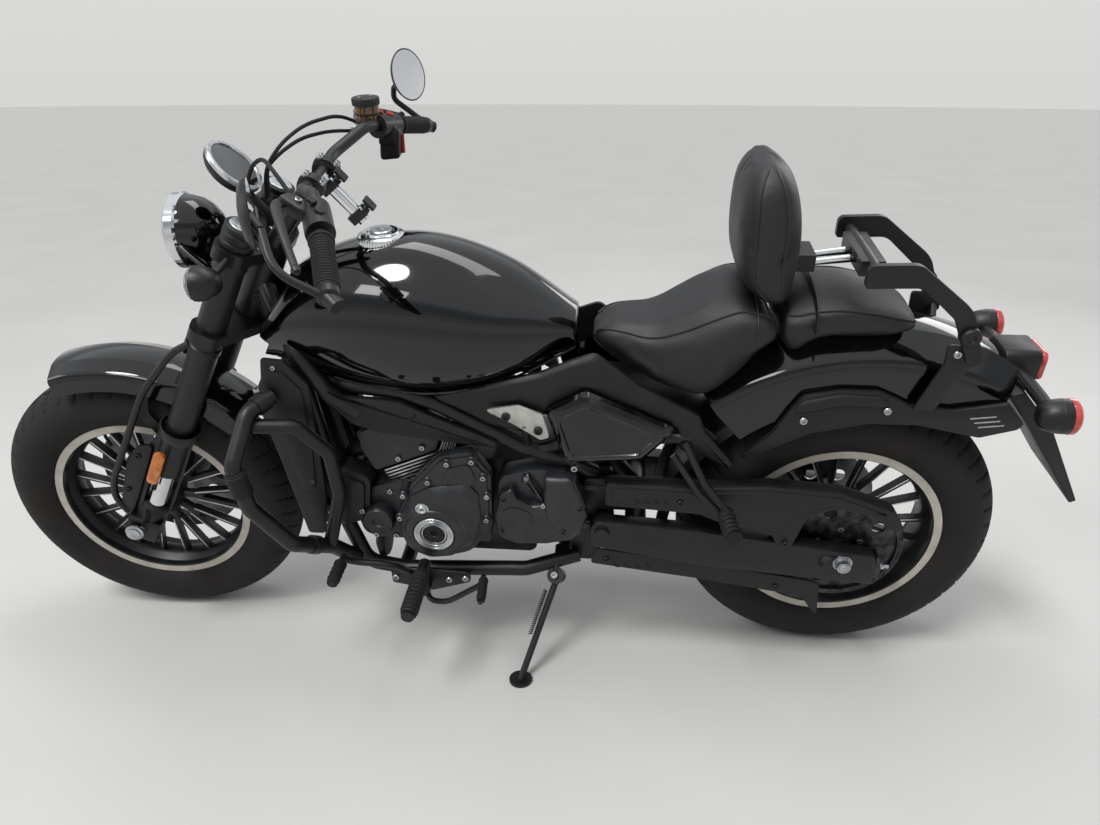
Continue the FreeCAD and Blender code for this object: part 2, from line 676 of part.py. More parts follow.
def exhaust():
    port = cylinder_frame.multVec(Vector(74 + d.fitGap, 0, 88))
    turn = cylinder_frame.multVec(Vector(126, 0, 88))
    pipes = []
    for i, y in enumerate((48, -48)):
        route = [(port.x, y, port.z), (turn.x, y, turn.z), (1014, y * 0.6, 430), (1014, -18 + y * 0.3, 370)]
        pipes.append(bent(f"Header{i}", route, "pipeDiameter", 30))
    low = bent("Downpipe", [(1014, -18, 400), (1014, -30, 300), (950, -95, 274), (880, -152, 272),
                            (700, -160, 264), (640, -186, 264)], "pipeDiameter", 40)
    silencer = turned("Silencer", [(0, 0), (22, 0), (48, 50), (48, 560), (40, 590), (30, 590), (30, 560), (0, 560)],
                      Placement(Vector(660, -192, 264), Rotation(Vector(0, 1, 0), Vector(-1, 0, 0.05))))
    node("exhaust", [joined("ExhaustWhole", pipes + [low, silencer])], lean)


# Radiator and guards

radiator_frame = place(1094, 0, 350, (0, 1, 0), 8.6)


def radiator():
    core = block("RadiatorCore", (-d.radiatorThickness, -d.radiatorHalf + 20, 0), (0, d.radiatorHalf - 20,
                                                                               d.radiatorHeight))
    tanks = [block(f"RadiatorTank{i}", (-d.radiatorThickness - 4, y, -4), (4, y + 22, d.radiatorHeight + 4))
             for i, y in enumerate((-d.radiatorHalf, d.radiatorHalf - 22))]
    placed = moved("RadiatorPlaced", joined("RadiatorWhole", [core] + tanks), radiator_frame)
    mounts = both([rod("RadiatorMount", (1064, 64, 600), (1110, 64, 600), "20"),
                   rod("RadiatorMountLow", (1026, 90, 380), (1070, 90, 380), "20")])
    node("radiator", [joined("RadiatorMounted", [placed] + mounts)], lean, ["frame_cradle"])
    half = d.radiatorHalf + d.fitGap
    outline = [(1143, 662, 10), (1120, 704, 8), (1112, 748, 8), (1070, 744, 8), (1030, 692, 8), (1040, 430, 20),
               (1058, 330, 10), (1094, 330, 10)]
    side = plate("ShroudSide", outline, "14", half + 14)
    top = block("ShroudTop", (1102, -half - 6, 712), (1118, half + 6, 726))
    node("radiator_shroud", [joined("ShroudWhole", both([side]) + [top])], lean,
         ["radiator", "frame_cradle", "frame_upper"])


def engine_guards():
    loop = [(1100, 148, 676), (1128, 196, 668), (1146, 262, 592), (1130, 268, 505), (1076, 246, 400),
            (1036, 158, 318), (1006, 126, 262), (1006, 104, 262)]
    outer = bent("GuardLoop", loop, "guardBar", 34)
    inner = bent("GuardInner", [(1122, 196, 640), (1050, 180, 632), (1004, 162, 560), (1000, 160, 460),
                                (1038, 166, 330)], "28", 30)
    node("engine_guards", both([joined("GuardLeft", [outer, inner])]), lean,
         ["frame_cradle", "radiator_shroud", "frame_upper"])


# Tank and covers

def tank_section(name, x, low, top, wide, wide_z, bottom_half, top_half, shoulder):
    points = [(-bottom_half, low), (-wide, wide_z, VIA), (-top_half, shoulder), (0, top, VIA), (top_half, shoulder),
              (wide, wide_z, VIA), (bottom_half, low)]
    return drawn(name, points, place(x, 0, 0, (1, 1, 1), 120))


def clamp_outline(grown=0):
    x, y, out = d.clampOffset, d.forkSpread / 2, grown
    return [(-34 - out, -30 - out, 20), (-34 - out, 30 + out, 20), (x - 20 - out, y + 36 + out, 16),
            (x + 30 + out, y + 36 + out, 20), (x + 36 + out, y, 20), (34, 0, 40), (x + 36 + out, -y, 20),
            (x + 30 + out, -y - 36 - out, 20), (x - 20 - out, -y - 36 - out, 16)]


# What the clamps and fork tubes need at full lock, each way
def lock_room():
    gap = d.lockGap
    low, high = d.lowerClampZ - gap, d.upperClampZ + d.clampThickness + gap
    room = []
    for side in (1, -1):
        locked = fork_frame * place(angle=side * d.steerLock)
        start, end = (locked.multVec(Vector(d.clampOffset, side * d.forkSpread / 2, z)) for z in (low, high))
        room.append(rod(f"LockTube{side > 0}", start, end, "forkTube + 2 * lockGap"))
        for i, z in enumerate((d.lowerClampZ, d.upperClampZ)):
            sketch = drawn(f"LockClamp{side > 0}{i}Sketch", clamp_outline(gap), locked * place(0, 0, z - gap))
            room.append(extruded(f"LockClamp{side > 0}{i}", sketch, "clampThickness + 2 * lockGap"))
    return room


def fuel_tank():
    # x, underside, crest, half width, height of the widest place, half width below and at the shoulder, shoulder
    table = [(1130, 712, 800, 80, 764, 54, 50, 786),
             (1060, 700, 880, 108, 780, 72, 66, 852),
             (940, 680, 930, 142, 780, 100, 84, 898),
             (800, 676, 938, 152, 780, 118, 84, 904),
             (660, 696, 892, 128, 790, 92, 66, 864),
             (540, 740, 806, 62, 776, 40, 40, 796)]
    sections = [tank_section(f"TankSection{i}", *row) for i, row in enumerate(table)]
    shell = lofted("TankLoft", sections)
    notch = block("NeckNotch", (1072, -56, 600), (1200, 56, 1000))
    cap_room = rod("CapRoom", (896, 0, 925), (896, 0, 1000), "capDiameter + 2 * fitGap")
    tank = less("TankCut", shell, [notch, cap_room])
    for i, room in enumerate(lock_room()):
        tank = less(f"TankLock{i}", tank, [room])
    node("fuel_tank", [tank], lean, ["frame_upper", "frame_cradle", "radiator_shroud"])
    cap = turned("CapTurned", [(0, 0), (40, 0), (44, 3), (44, 16), (40, 20), (24, 20), (22, 24), (0, 24)],
                 Placement(Vector(896, 0, 925 + d.fitGap), Rotation(Vector(0, 1, 0), Vector(0, 0, 1))))
    node("fuel_cap", [cap], lean)


def side_covers():
    outline = [(590, 655, 20), (516, 699, 20), (345, 622, 14), (405, 552, 16), (556, 536, 20)]
    cover = plate("SideCover", outline, "26", 148)
    node("side_covers", both([cover]), lean, ["frame_upper"])
    outline = [(1018, 690, 8), (998, 640, 20), (964, 600, 30), (900, 581, 20), (689, 557, 4), (684, 571, 4),
               (805, 626, 30), (867, 656, 30), (975, 661, 20)]
    panel = plate("FramePanel", outline, "18", 124)
    node("frame_covers", both([panel]), lean, ["frame_upper"])
    outline = [(702, 654, 10), (634, 668, 10), (592, 644, 8), (584, 596, 8), (640, 598, 10)]
    silver = plate("HangerPlate", outline, "8", 137)
    boss = rod("HangerBoss", (648, 104, 562), (652, 132, 614), "16")
    node("hanger_plates", both([joined("HangerWhole", [silver, boss])]), lean, ["frame_upper", "side_covers"])


# Seats and backrest

def cushion(name, side, plan, height):
    tall = plate(name + "Side", side, "400", 200)
    wide = slab(name + "Plan", plan, "600", height)
    return shared(name, tall, wide)


def seats():
    side = [(512, 752, 24), (472, 812, 20), (405, 800, 40), (322, 846, 60), (262, 876, 14), (205, 850, 14),
            (180, 786, 20), (300, 655, 40), (400, 690, 30)]
    half = d.seatHalf
    plan = [(520, -50, 30), (400, -96, 60), (300, -half, 50), (190, -half, 40), (190, half, 40), (300, half, 50),
            (400, 96, 60), (520, 50, 30)]
    node("rider_seat", [cushion("RiderSeat", side, plan, 500)], lean, ["rear_fender_room", "side_covers"])
    side = [(176, 848, 16), (50, 858, 50), (-40, 838, 20), (-62, 800, 16), (100, 790, 100), (150, 745, 10),
            (182, 778, 8)]
    half = d.pillionHalf
    plan = [(182, -half, 30), (60, -half - 4, 60), (-66, -half + 24, 40), (-66, half - 24, 40), (60, half + 4, 60),
            (182, half, 30)]
    node("pillion_seat", [cushion("PillionSeat", side, plan, 500)], lean, ["rear_fender_room", "rider_seat"])


def backrest():
    half = d.padHalf
    side = [(272, 935, 40), (270, 1060, 30), (225, 1090, 26), (182, 1060, 30), (162, 960, 60), (168, 862, 20),
            (200, 852, 12), (250, 882, 12)]
    tall = plate("PadSide", side, "2 * padHalf", half)
    front = [(-half, 840, 30), (half, 840, 30), (half - 6, 1092, 80), (-half + 6, 1092, 80)]
    face = crosswise("PadFace", front, "300", 100)
    node("backrest_pad", [shared("PadShape", tall, face)], lean, ["rider_seat", "pillion_seat"])
    bracket = block("PadBracket", (126, -34, 896), (168, 34, 926))
    rods = both([rod("PadRod", (126, 18, 908), (40, 18, 918), "12")])
    clamp = block("RodClamp", (20, -70, 905), (60, 70, 932))
    arm = plate("RackArm", [(62, 905, 6), (62, 945, 12), (-20, 948, 30), (-120, 870, 60), (-160, 772, 14),
                            (-136, 764, 10), (-96, 850, 40), (-30, 908, 30)], "12", 122)
    tie = rod("RackTie", (40, -112, 925), (40, 112, 925), "20")
    foot = rod("RackFoot", (-146, 116, 776), (-136, 70, 752), "14")
    node("backrest_frame", [joined("RackWhole", [bracket, clamp, tie] + rods + both([arm, foot]))], lean,
         ["backrest_pad", "rear_fender_room"])


# Fenders

def fender_arc(name, profile, at, start, sweep, radius):
    ring = turned(name + "Ring", profile, at)
    reach = radius * 1.6
    first, last = math.radians(start), math.radians(start + sweep)
    middle = (first + last) / 2
    corners = [(at.Base.x, at.Base.z)]
    for turn in (first, middle, last):
        corners.append((at.Base.x + reach * math.cos(turn), at.Base.z + reach * math.sin(turn)))
    sector = plate(name + "Sector", corners, "600", 300)
    return shared(name, ring, sector)


def fender_room():
    half = d.fenderHalf + d.fitGap
    profile = [(300, half), (430, half, 40), (478, 40), (482 + d.fitGap, 0, VIA), (478, -40), (430, -half, 40),
               (300, -half)]
    upright["rear_fender_room"] = fender_arc("RearFenderRoom", profile, place(-10, 0, 318), 48, 74, 480)


def rear_fender():
    half, wall = d.fenderHalf, d.sheetWall
    profile = [(350, half), (430, half, 40), (478, 40), (482, 0, VIA), (478, -40), (430, -half, 40), (350, -half),
               (350, -half + wall), (429, -half + wall, 37), (475, -40 + wall), (479, 0, VIA), (475, 40 - wall),
               (429, half - wall, 37), (350, half - wall)]
    node("rear_fender", [fender_arc("RearFender", profile, place(-10, 0, 318), 48, 74, 480)], lean)
    outline = [(318, 576, 10), (318, 604, 8), (150, 676, 20), (-84, 684, 30), (-223, 676, 10), (-214, 612, 8),
               (-133, 618, 20), (-21, 642, 60), (130, 640, 30)]
    rail = plate("FenderRail", outline, "14 - fitGap", half + 14)
    node("fender_rails", both([rail]), lean, ["frame_upper"])


def front_fender():
    half, wall = d.frontFenderHalf, d.sheetWall
    profile = [(316, half), (352, half - 8, 20), (368, 30), (371, 0, VIA), (368, -30), (352, -half + 8, 20),
               (316, -half), (316, -half + wall), (351, -half + 8 + wall, 17), (365, -30), (368, 0, VIA), (365, 30),
               (351, half - 8 - wall, 17), (316, half - wall)]
    shell = fender_arc("FrontFender", profile, Placement(front_axle, Rotation()), 44, 66, 371)
    x = d.clampOffset
    mounts = both([block("FenderMount", (x - 14, half - 4, 640), (x + 14, half + 8, 664))])
    node("front_fender", [joined("FrontFenderWhole", [shell] + mounts)], steer, ["fork_tubes"])


# Lamps

def rear_lamps():
    box = crosswise("TailBox", [(-42, 690, 10), (42, 690, 10), (42, 752, 14), (-42, 752, 14)], "80", -312)
    node("tail_light", [box], lean, ["rear_fender_room"])
    stalk = rod("RearStalk", (-262, 60, 706), (-280, 150, 704), "14")
    lamp = turned("RearIndicator", [(0, -40), (18, -30), (30, -6), (30, 18), (0, 24)],
                  Placement(Vector(-285, 172, 704), Rotation(Vector(0, 1, 0), Vector(-1, 0, 0))))
    node("rear_indicators", both([joined("RearIndicatorWhole", [stalk, lamp])]), lean,
         ["rear_fender_room", "tail_light"])
    outline = [(-298, 612, 6), (-236, 690, 6), (-262, 700, 6), (-332, 622, 6), (-424, 462, 4), (-412, 456, 4)]
    node("plate_holder", [plate("PlateHolder", outline, "180", 90)], lean, ["rear_fender_room", "tail_light"])


# Small things on the frame

def foot_controls(label, side):
    y = 180 * side
    rail_y = (d.lowRailHalf + 16) * side
    bracket = rod(label + "Bracket", (845, rail_y, 228), (845, y, 232), "22")
    post = rod(label + "Post", (845, y + 4 * side, 222), (845, y + 4 * side, 286), "18")
    seat, tip = Vector(845, y, 285), Vector(845, 318 * side, 292)
    shoulder = tip + (seat - tip).normalize() * d.pegLength
    peg = joined(label + "Peg", [rod(label + "PegRoot", seat, shoulder, "20"),
                                 rod(label + "PegBar", shoulder, tip, "pegDiameter")])
    lever = bent(label + "Lever", [(845, y + 6 * side, 240), (930, y + 8 * side, 240), (985, y + 20 * side, 352)],
                 "12", 20)
    toe = rod(label + "Toe", (985, y + 14 * side, 350), (985, 290 * side, 356), "20")
    node(label, [joined(label + "Whole", [bracket, post, peg, lever, toe])], lean, ["frame_cradle"])


def passenger_pegs():
    hanger = bent("PegHanger", [(330, 126, 590), (290, 160, 520), (246, 176, 470)], "14", 30)
    second = bent("PegHangerLow", [(350, 126, 560), (300, 160, 500), (250, 176, 455)], "14", 30)
    peg = rod("PassengerPeg", (246, 170, 462), (238, 246, 466), "30")
    node("passenger_pegs", both([joined("PassengerPegWhole", [hanger, second, peg])]), lean, ["frame_upper"])


def chain_guards():
    outline = [(482, 452, 10), (470, 488, 10), (292, 492, 30), (103, 490, 40), (10, 478, 60), (-60, 450, 60),
               (-110, 405, 10), (-96, 398, 6), (-50, 428, 40), (24, 436, 40), (84, 352, 6), (112, 352, 6),
               (100, 450, 30), (300, 462)]
    upper = plate("UpperGuard", outline, "36", 140)
    outline = [(490, 326, 8), (503, 286, 8), (274, 256, 20), (64, 221, 10), (24, 158, 8), (34, 262, 20), (277, 300)]
    lower = plate("LowerGuard", outline, "6", 138)
    node("chain_guards", [upper, lower], lean, ["swingarm"])


def caliper(label, centre, size):
    low = [c - s / 2 for c, s in zip(centre, size)]
    high = [c + s / 2 for c, s in zip(centre, size)]
    return block(label + "Block", low, high)


def rear_caliper():
    body = caliper("RearCaliper", (66, -d.rearDiscInset - 2, rear_axle.z + 96), (80, 30, 56))
    gap = disc_room("RearDiscRoom", d.rearDiscRadius, rear_axle, -d.rearDiscInset)
    hanger = block("RearCaliperHanger", (36, -d.armInner + d.fitGap, 320), (84, -d.armInner + 8, 400))
    whole = joined("RearCaliperWhole", [body, hanger])
    node("rear_caliper", [less("RearCaliperCut", whole, [gap])], lean)


def disc_room(name, radius, at, centre_y):
    half = d.discThickness / 2 + 2
    return turned(name, [(0, -half), (radius + 4, -half), (radius + 4, half), (0, half)],
                  place(at.x, centre_y, at.z))


def shock_absorber():
    node("shock_absorber", [rod("ShockBody", (408, 0, 368), (545, 0, 552), "50")], lean, ["swingarm", "frame_upper"])


def horn():
    body = turned("HornDisc", [(0, 0), (36, 0), (40, 6), (40, 14), (22, 24), (0, 24)],
                  place(948, 64, 262, (0, 0, 1), -90))
    bracket = rod("HornBracket", (953, 70, 262), (953, d.lowRailHalf, 230), "10")
    node("horn", [joined("HornWhole", [body, bracket])], lean, ["frame_cradle", "engine_cases"])


# Steering

def fork():
    x, y = d.clampOffset, d.forkSpread / 2
    clamps = []
    for i, z in enumerate((d.lowerClampZ, d.upperClampZ)):
        clamps.append(slab(f"Clamp{i}", clamp_outline(), "clampThickness", z))
    stem = rod("Stem", (0, 0, d.lowerClampZ - 4), (0, 0, d.upperClampZ + d.clampThickness + 8), "stemDiameter")
    tube = rod("ForkTube", (x, y, d.forkTubeBottom), (x, y, d.upperClampZ + d.clampThickness), "forkTube")
    cap = rod("ForkCap", (x, y, d.upperClampZ + 10), (x, y, d.upperClampZ + d.clampThickness + d.capHeight),
              "forkTube - 8")
    bore = rod("ForkBore", (x, y, d.forkTubeBottom - 1), (x, y, d.upperClampZ), "forkInner + 2 * fitGap")
    sleeve = less("ForkSleeve", joined("ForkOuter", [tube, cap]), [bore])
    room = both([rod("ForkRoom", (x, y, d.lowerClampZ - 10), (x, y, d.upperClampZ + 60), "forkTube")])
    node("fork_clamps", [less("ClampsCut", joined("ClampsWhole", clamps + [stem]), room)], steer)
    node("fork_tubes", both([sleeve]), steer)
    inner = rod("ForkInner", (x, y, axle_height - 20), (x, y, d.forkTubeBottom + 140), "forkInner")
    foot = crosswise("ForkFoot", [(y - 24, axle_height - 30, 10), (y + 24, axle_height - 30, 10),
                                  (y + 24, axle_height + 26, 10), (y - 24, axle_height + 26, 10)], "66", x - 24)
    hole = rod("FootHole", (d.forkOffset, y - 60, axle_height), (d.forkOffset, y + 60, axle_height), "axleDiameter")
    axle = rod("FrontAxle", (d.forkOffset, -y - 34, axle_height), (d.forkOffset, y + 34, axle_height), "axleDiameter")
    legs = both([joined("ForkLegWhole", [inner, foot])])
    node("fork_legs", [joined("ForkLegs", legs + [axle])], steer)
    shell = turned("GuardTurned", [(d.forkTube / 2 + d.fitGap, d.guardBottom + 30), (d.guardTube / 2, d.guardBottom + 30),
                                   (d.guardTube / 2, d.guardTop), (d.forkTube / 2 + d.fitGap, d.guardTop)],
                   Placement(Vector(x, y, 0), Rotation(Vector(1, 0, 0), 90)))
    window = block("GuardWindow", (x - 20, y + 10, 400), (x + 28, y + 50, 485))
    node("fork_guards", both([less("GuardShell", shell, [window])]), steer)
    reflector = slab("Reflector", [(x - 14, y + 26), (x + 14, y + 26), (x + 14, y + 42), (x - 14, y + 42)], "90", 490)
    guards = rod("ReflectorRoom", (x, y, 480), (x, y, 600), "guardTube + 2 * fitGap")
    node("reflectors", both([less("ReflectorCut", reflector, [guards])]), steer)


def front_caliper():
    x, y, z = d.clampOffset - 66, -d.frontDiscInset, axle_height + 100
    body = caliper("FrontCaliper", (x - 20, y - 4, z), (64, 34, 100))
    slot = disc_room("FrontDiscRoom", d.frontDiscRadius, front_axle, y)
    arm = block("CaliperArm", (x - 10, -d.forkSpread / 2 + 10, z - 40), (d.clampOffset - 29, y - 12, z + 30))
    node("front_caliper", [less("FrontCaliperCut", joined("FrontCaliperWhole", [body, arm]), [slot])], steer,
         ["fork_guards", "fork_legs"])


def handlebar():
    reach = 415
    route = [(-37, 0, 1191), (-33, 100, 1208), (-62, 190, 1252), (-104, 290, 1246), (-154, reach, 1233)]
    half = bent("BarLeft", route, "barDiameter - 6", 60)
    riser = rod("Riser", (-8, 48, d.upperClampZ + d.clampThickness), (-34, 48, 1198), "30")
    holder = rod("BarHolder", (-37, 36, 1196), (-37, 60, 1196), "44")
    node("handlebar", [joined("BarWhole", both([half, riser, holder]))], steer, ["fork_clamps"])
    start, end = Vector(-104, 290, 1246), Vector(-154, reach, 1233)
    along = (end - start).normalize()
    first = start + along * 14
    last = first + along * d.gripLength
    grip = rod("Grip", first, last, "gripDiameter")
    bar = doc.getObject("BarLeft")
    node("grips", both([less("GripCut", grip, [bar])]), steer)
    return along, start


def hand_controls():
    left = rod("LeftSwitch", (-84, 240, 1248), (-103, 286, 1246), "44")
    lever = bent("LeftLever", [(-40, 236, 1246), (-30, 262, 1246), (-60, 330, 1244), (-108, 396, 1234)], "13", 14)
    pivot = block("LeftPivot", (-90, 228, 1236), (-28, 258, 1256))
    bar = doc.getObject("BarLeft")
    parts = joined("LeftControls", [left, lever, pivot])
    node("left_controls", [less("LeftControlsCut", parts, [bar])], steer, ["grips"])
    right = rod("RightSwitch", (-84, -240, 1248), (-103, -286, 1246), "44")
    lever = bent("RightLever", [(-40, -236, 1246), (-30, -262, 1246), (-60, -330, 1244), (-108, -396, 1234)], "13", 14)
    pivot = block("RightPivot", (-90, -262, 1232), (-24, -206, 1254))
    cup = rod("Reservoir", (-46, -234, 1250), (-46, -234, 1296), "50")
    parts = joined("RightControls", [right, lever, pivot, cup])
    node("right_controls", [less("RightControlsCut", parts, [doc.getObject("BarLeftRight")])], steer,
         ["grips"])


def mirrors():
    stalk = bent("LeftStalk", [(-162, 424, 1233), (-78, 424, 1236), (-40, 380, 1262)], "12", 26)
    socket = rod("LeftSocket", (-150, 416, 1233), (-172, 432, 1232), "24")
    glass = turned("LeftGlass", [(0, 0), (52, 0), (50, 12), (20, 18), (0, 18)],
                   Placement(Vector(-16, 340, 1258), Rotation(Vector(0, 1, 0), Vector(0.75, -0.2, -0.4))))
    left = joined("LeftMirror", [stalk, glass, socket, rod("LeftBall", (-40, 380, 1262), (-10, 340, 1256), "12")])
    right_stalk = bent("RightStalk", [(-162, -424, 1233), (-72, -426, 1249), (-62, -424, 1275)], "12", 14)
    right_glass = turned("RightGlass", [(0, 0), (52, 0), (50, 12), (20, 18), (0, 18)],
                         Placement(Vector(-85, -402, 1318), Rotation(Vector(0, 1, 0), Vector(0.8, 0.2, -0.3))))
    joints = [rod("RightBall", (-62, -424, 1270), (-78, -408, 1312), "12")]
    right = joined("RightMirror", [right_stalk, right_glass] + joints)
    node("mirrors", [left, right], steer, ["handlebar", "grips"])


def front_lamp():
    centre = Vector(*(fork_frame.inverse().multVec(Vector(1246, 0, 943))))
    forward = fork_frame.inverse().Rotation.multVec(Vector(1, 0, -0.03))
    bowl = turned("HeadBowl", [(0, -62), (30, -56), (58, -30), (66, 0), (d.lampRadius, 2), (d.lampRadius, 22), (64, 26),
                               (0, 14)], Placement(centre, Rotation(Vector(0, 1, 0), forward)))
    mount = both([rod("LampMount", (centre.x - 44, 40, centre.z + 6), (d.clampOffset + 19, d.forkSpread / 2 - 19, 1010),
                      "14")])
    node("headlight", [joined("HeadlightWhole", [bowl] + mount)], steer, ["fork_tubes", "fork_clamps"])
    lamp = turned("FrontIndicator", [(0, -30), (18, -24), (29, -4), (30, 14), (24, 22), (0, 26)],
                  Placement(Vector(52, 198, 1026), Rotation(Vector(0, 1, 0), Vector(0.9, 0, -0.45))))
    stalk = rod("FrontIndicatorStalk", (40, 138, 1050), (46, 180, 1030), "12")
    node("front_indicators", both([joined("FrontIndicatorWhole", [lamp, stalk])]), steer,
         ["fork_clamps", "fork_tubes"])
    dial = turned("Dial", [(0, -22), (34, -22), (50, -8), (54, 0), (54, 8), (50, 10), (0, 8)],
                  Placement(Vector(104, 0, 1142), Rotation(Vector(0, 1, 0), Vector(-0.35, 0, 1))))
    arm = bent("DialArm", [(10, 0, d.upperClampZ + d.clampThickness), (20, 0, 1090), (70, 0, 1112), (96, 0, 1122)],
               "16", 16)
    node("instrument", [joined("DialWhole", [dial, arm])], steer, ["fork_clamps"])


def accessory_bar():
    bar = rod("AccessoryRod", (-40, 0, 1200), (-136, 0, 1160), "20")
    clamps = [rod(f"AccessoryClamp{i}", (x, -14, z), (x, 14, z), "34")
              for i, (x, z) in enumerate(((-74, 1202), (-122, 1170)))]
    whole = joined("AccessoryWhole", [bar] + clamps)
    node("accessory_bar", [less("AccessoryCut", whole, [doc.getObject("BarWhole")])], steer)


# The stand's foot, flat on the ground under the leaning bike
def stand_foot():
    ground = lean.multVec(Vector(d.standFootX, d.standFootY, 0))
    return lean.inverse() * place(ground.x, ground.y, 0)


# The stand's hinge: its Z axis is the one that swings the leg up along the bike
def stand_pivot():
    at = Vector(d.standPivotX, d.standPivotY, d.standPivotZ)
    leg = stand_foot().Base - at
    stowed = Vector(-0.97, 0.2, 0.13)
    return Placement(at, Rotation(Vector(0, 0, 1), leg.cross(stowed))), leg


def side_stand():
    pivot, leg = stand_pivot()
    foot = stand_foot()
    eye = rod("StandEye", pivot.multVec(Vector(0, 0, -7)), pivot.multVec(Vector(0, 0, 7.5)), "32")
    hole = rod("StandEyeHole", pivot.multVec(Vector(0, 0, -30)), pivot.multVec(Vector(0, 0, 30)),
               "16 + 2 * fitGap")
    tube = rod("StandLeg", pivot.Base + leg * 0.055, foot.multVec(Vector(0, 0, 4)), "standTube * 0.65")
    pad = rod("StandPad", foot.multVec(Vector(0, 0, 0)), foot.multVec(Vector(0, 0, 7)), "48")
    node("side_stand", [less("StandCut", joined("StandWhole", [eye, tube, pad]), [hole])], lean)


def build():
    wheels()
    rear_sprocket()
    drive_chain()
    frame_upper()
    frame_cradle()
    swingarm()
    crankcase()
    engine_cylinder()
    left_covers()
    clutch_cover()
    exhaust()
    radiator()
    engine_guards()
    fuel_tank()
    side_covers()
    fender_room()
    seats()
    backrest()
    rear_fender()
    rear_lamps()
    foot_controls("left_foot_controls", 1)
    foot_controls("right_foot_controls", -1)
    passenger_pegs()
    chain_guards()
    rear_caliper()
    shock_absorber()
    horn()
    fork()
    front_fender()
    front_caliper()
    handlebar()
    hand_controls()
    mirrors()
    front_lamp()
    accessory_bar()
    side_stand()


build()
doc.recompute()

for item in doc.Objects:
    if "Invalid" in item.State or "Error" in item.State:
        raise RuntimeError(f"{item.Name} did not build")
box = FreeCAD.BoundBox()
for item, pose in nodes:
    item.Placement = pose
    if item.Shape.isNull() or not item.Shape.isValid():
        raise RuntimeError(f"{item.Label} has no valid shape")
    box.add(item.Shape.optimalBoundingBox())
ground = Placement(Vector(-box.Center.x, -box.Center.y, -box.ZMin), Rotation())
for item, pose in nodes:
    item.Placement = ground * pose
doc.recompute()

os.makedirs("parts", exist_ok=True)
for item, pose in nodes:
    item.Shape.exportStep(f"parts/{item.Label}.step")
print("nodes", len(nodes), "size", box.XLength, box.YLength, box.ZLength)
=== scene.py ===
import json
import math

import bmesh
import bpy
from mathutils import Matrix, Vector
from mathutils.bvhtree import BVHTree


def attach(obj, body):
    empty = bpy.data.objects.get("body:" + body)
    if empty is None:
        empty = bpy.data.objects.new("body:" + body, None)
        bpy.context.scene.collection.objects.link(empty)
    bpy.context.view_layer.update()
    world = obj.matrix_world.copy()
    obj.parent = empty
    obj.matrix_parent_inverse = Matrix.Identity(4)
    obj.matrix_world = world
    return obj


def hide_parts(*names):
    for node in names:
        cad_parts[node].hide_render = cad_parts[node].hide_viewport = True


# The looks of a black cruiser motorcycle on its side stand. Forms are drawn in millimetres on the upright
# bike (X forward from the rear axle, Y left, Z up) or along the steering axis, and posed with the frame.

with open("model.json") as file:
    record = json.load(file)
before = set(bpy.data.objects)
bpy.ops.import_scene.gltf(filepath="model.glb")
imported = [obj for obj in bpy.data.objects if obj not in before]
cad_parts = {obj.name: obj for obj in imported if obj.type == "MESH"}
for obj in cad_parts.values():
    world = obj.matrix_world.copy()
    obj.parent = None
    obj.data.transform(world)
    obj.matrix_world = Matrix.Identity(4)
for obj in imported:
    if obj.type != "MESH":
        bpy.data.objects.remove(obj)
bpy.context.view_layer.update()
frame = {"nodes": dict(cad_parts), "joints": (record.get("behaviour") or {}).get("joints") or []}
joints = {joint["name"]: joint for joint in frame["joints"]}

bikeSizes = dict(rake=27.97, rearRadius=323, steerHeight=960)


def axesMatrix(ahead, across, up, origin):
    matrix = Matrix((ahead, across, up)).transposed().to_4x4()
    matrix.translation = origin
    return matrix @ Matrix.Scale(0.001, 4)


def bikeMatrix():
    across = Vector(joints["rear_wheel_spin"]["axis"])
    steering = Vector(joints["steering"]["axis"])
    level = across.cross(steering)
    turn = math.radians(bikeSizes["rake"])
    ahead = math.cos(turn) * level - math.sin(turn) * steering
    up = math.sin(turn) * level + math.cos(turn) * steering
    axle = Vector(joints["rear_wheel_spin"]["pos_m"])
    return axesMatrix(ahead, across, up, axle - up * bikeSizes["rearRadius"] * 0.001)


def forkMatrix():
    up = Vector(joints["steering"]["axis"])
    across = Vector(joints["front_wheel_spin"]["axis"])
    origin = Vector(joints["steering"]["pos_m"]) - up * bikeSizes["steerHeight"] * 0.001
    return axesMatrix(across.cross(up), across, up, origin)


onBike, onFork = bikeMatrix(), forkMatrix()
homes = {"frame": onBike, "rear_wheel": onBike, "stand": onBike, "steering": onFork, "front_wheel": onFork}
rearAxle = Vector((0, 0, bikeSizes["rearRadius"]))
frontAxle = onFork.inverted() @ Vector(joints["front_wheel_spin"]["pos_m"])


# Forms: a form is a list of points and a list of faces, here from rings of points

def shell(rings, loop=False, capped=True):
    count = len(rings[0])
    points = [point for ring in rings for point in ring]
    faces = []
    for i in range(len(rings) if loop else len(rings) - 1):
        low, high = i * count, (i + 1) % len(rings) * count
        faces += [(low + k, low + (k + 1) % count, high + (k + 1) % count, high + k) for k in range(count)]
    if capped and not loop:
        faces.append(tuple(reversed(range(count))))
        faces.append(tuple(range(len(points) - count, len(points))))
    return points, faces


def circle(centre, side, up, radius, steps):
    turns = [2 * math.pi * k / steps for k in range(steps)]
    return [centre + (side * math.cos(a) + up * math.sin(a)) * radius for a in turns]


def lathe(profile, centre, axis=(0, 1, 0), steps=48, loop=False):
    axis, centre = Vector(axis).normalized(), Vector(centre)
    side = axis.orthogonal().normalized()
    up = axis.cross(side)
    rings = [circle(centre + axis * along, side, up, max(radius, 1e-3), steps) for radius, along in profile]
    return shell(rings, loop)


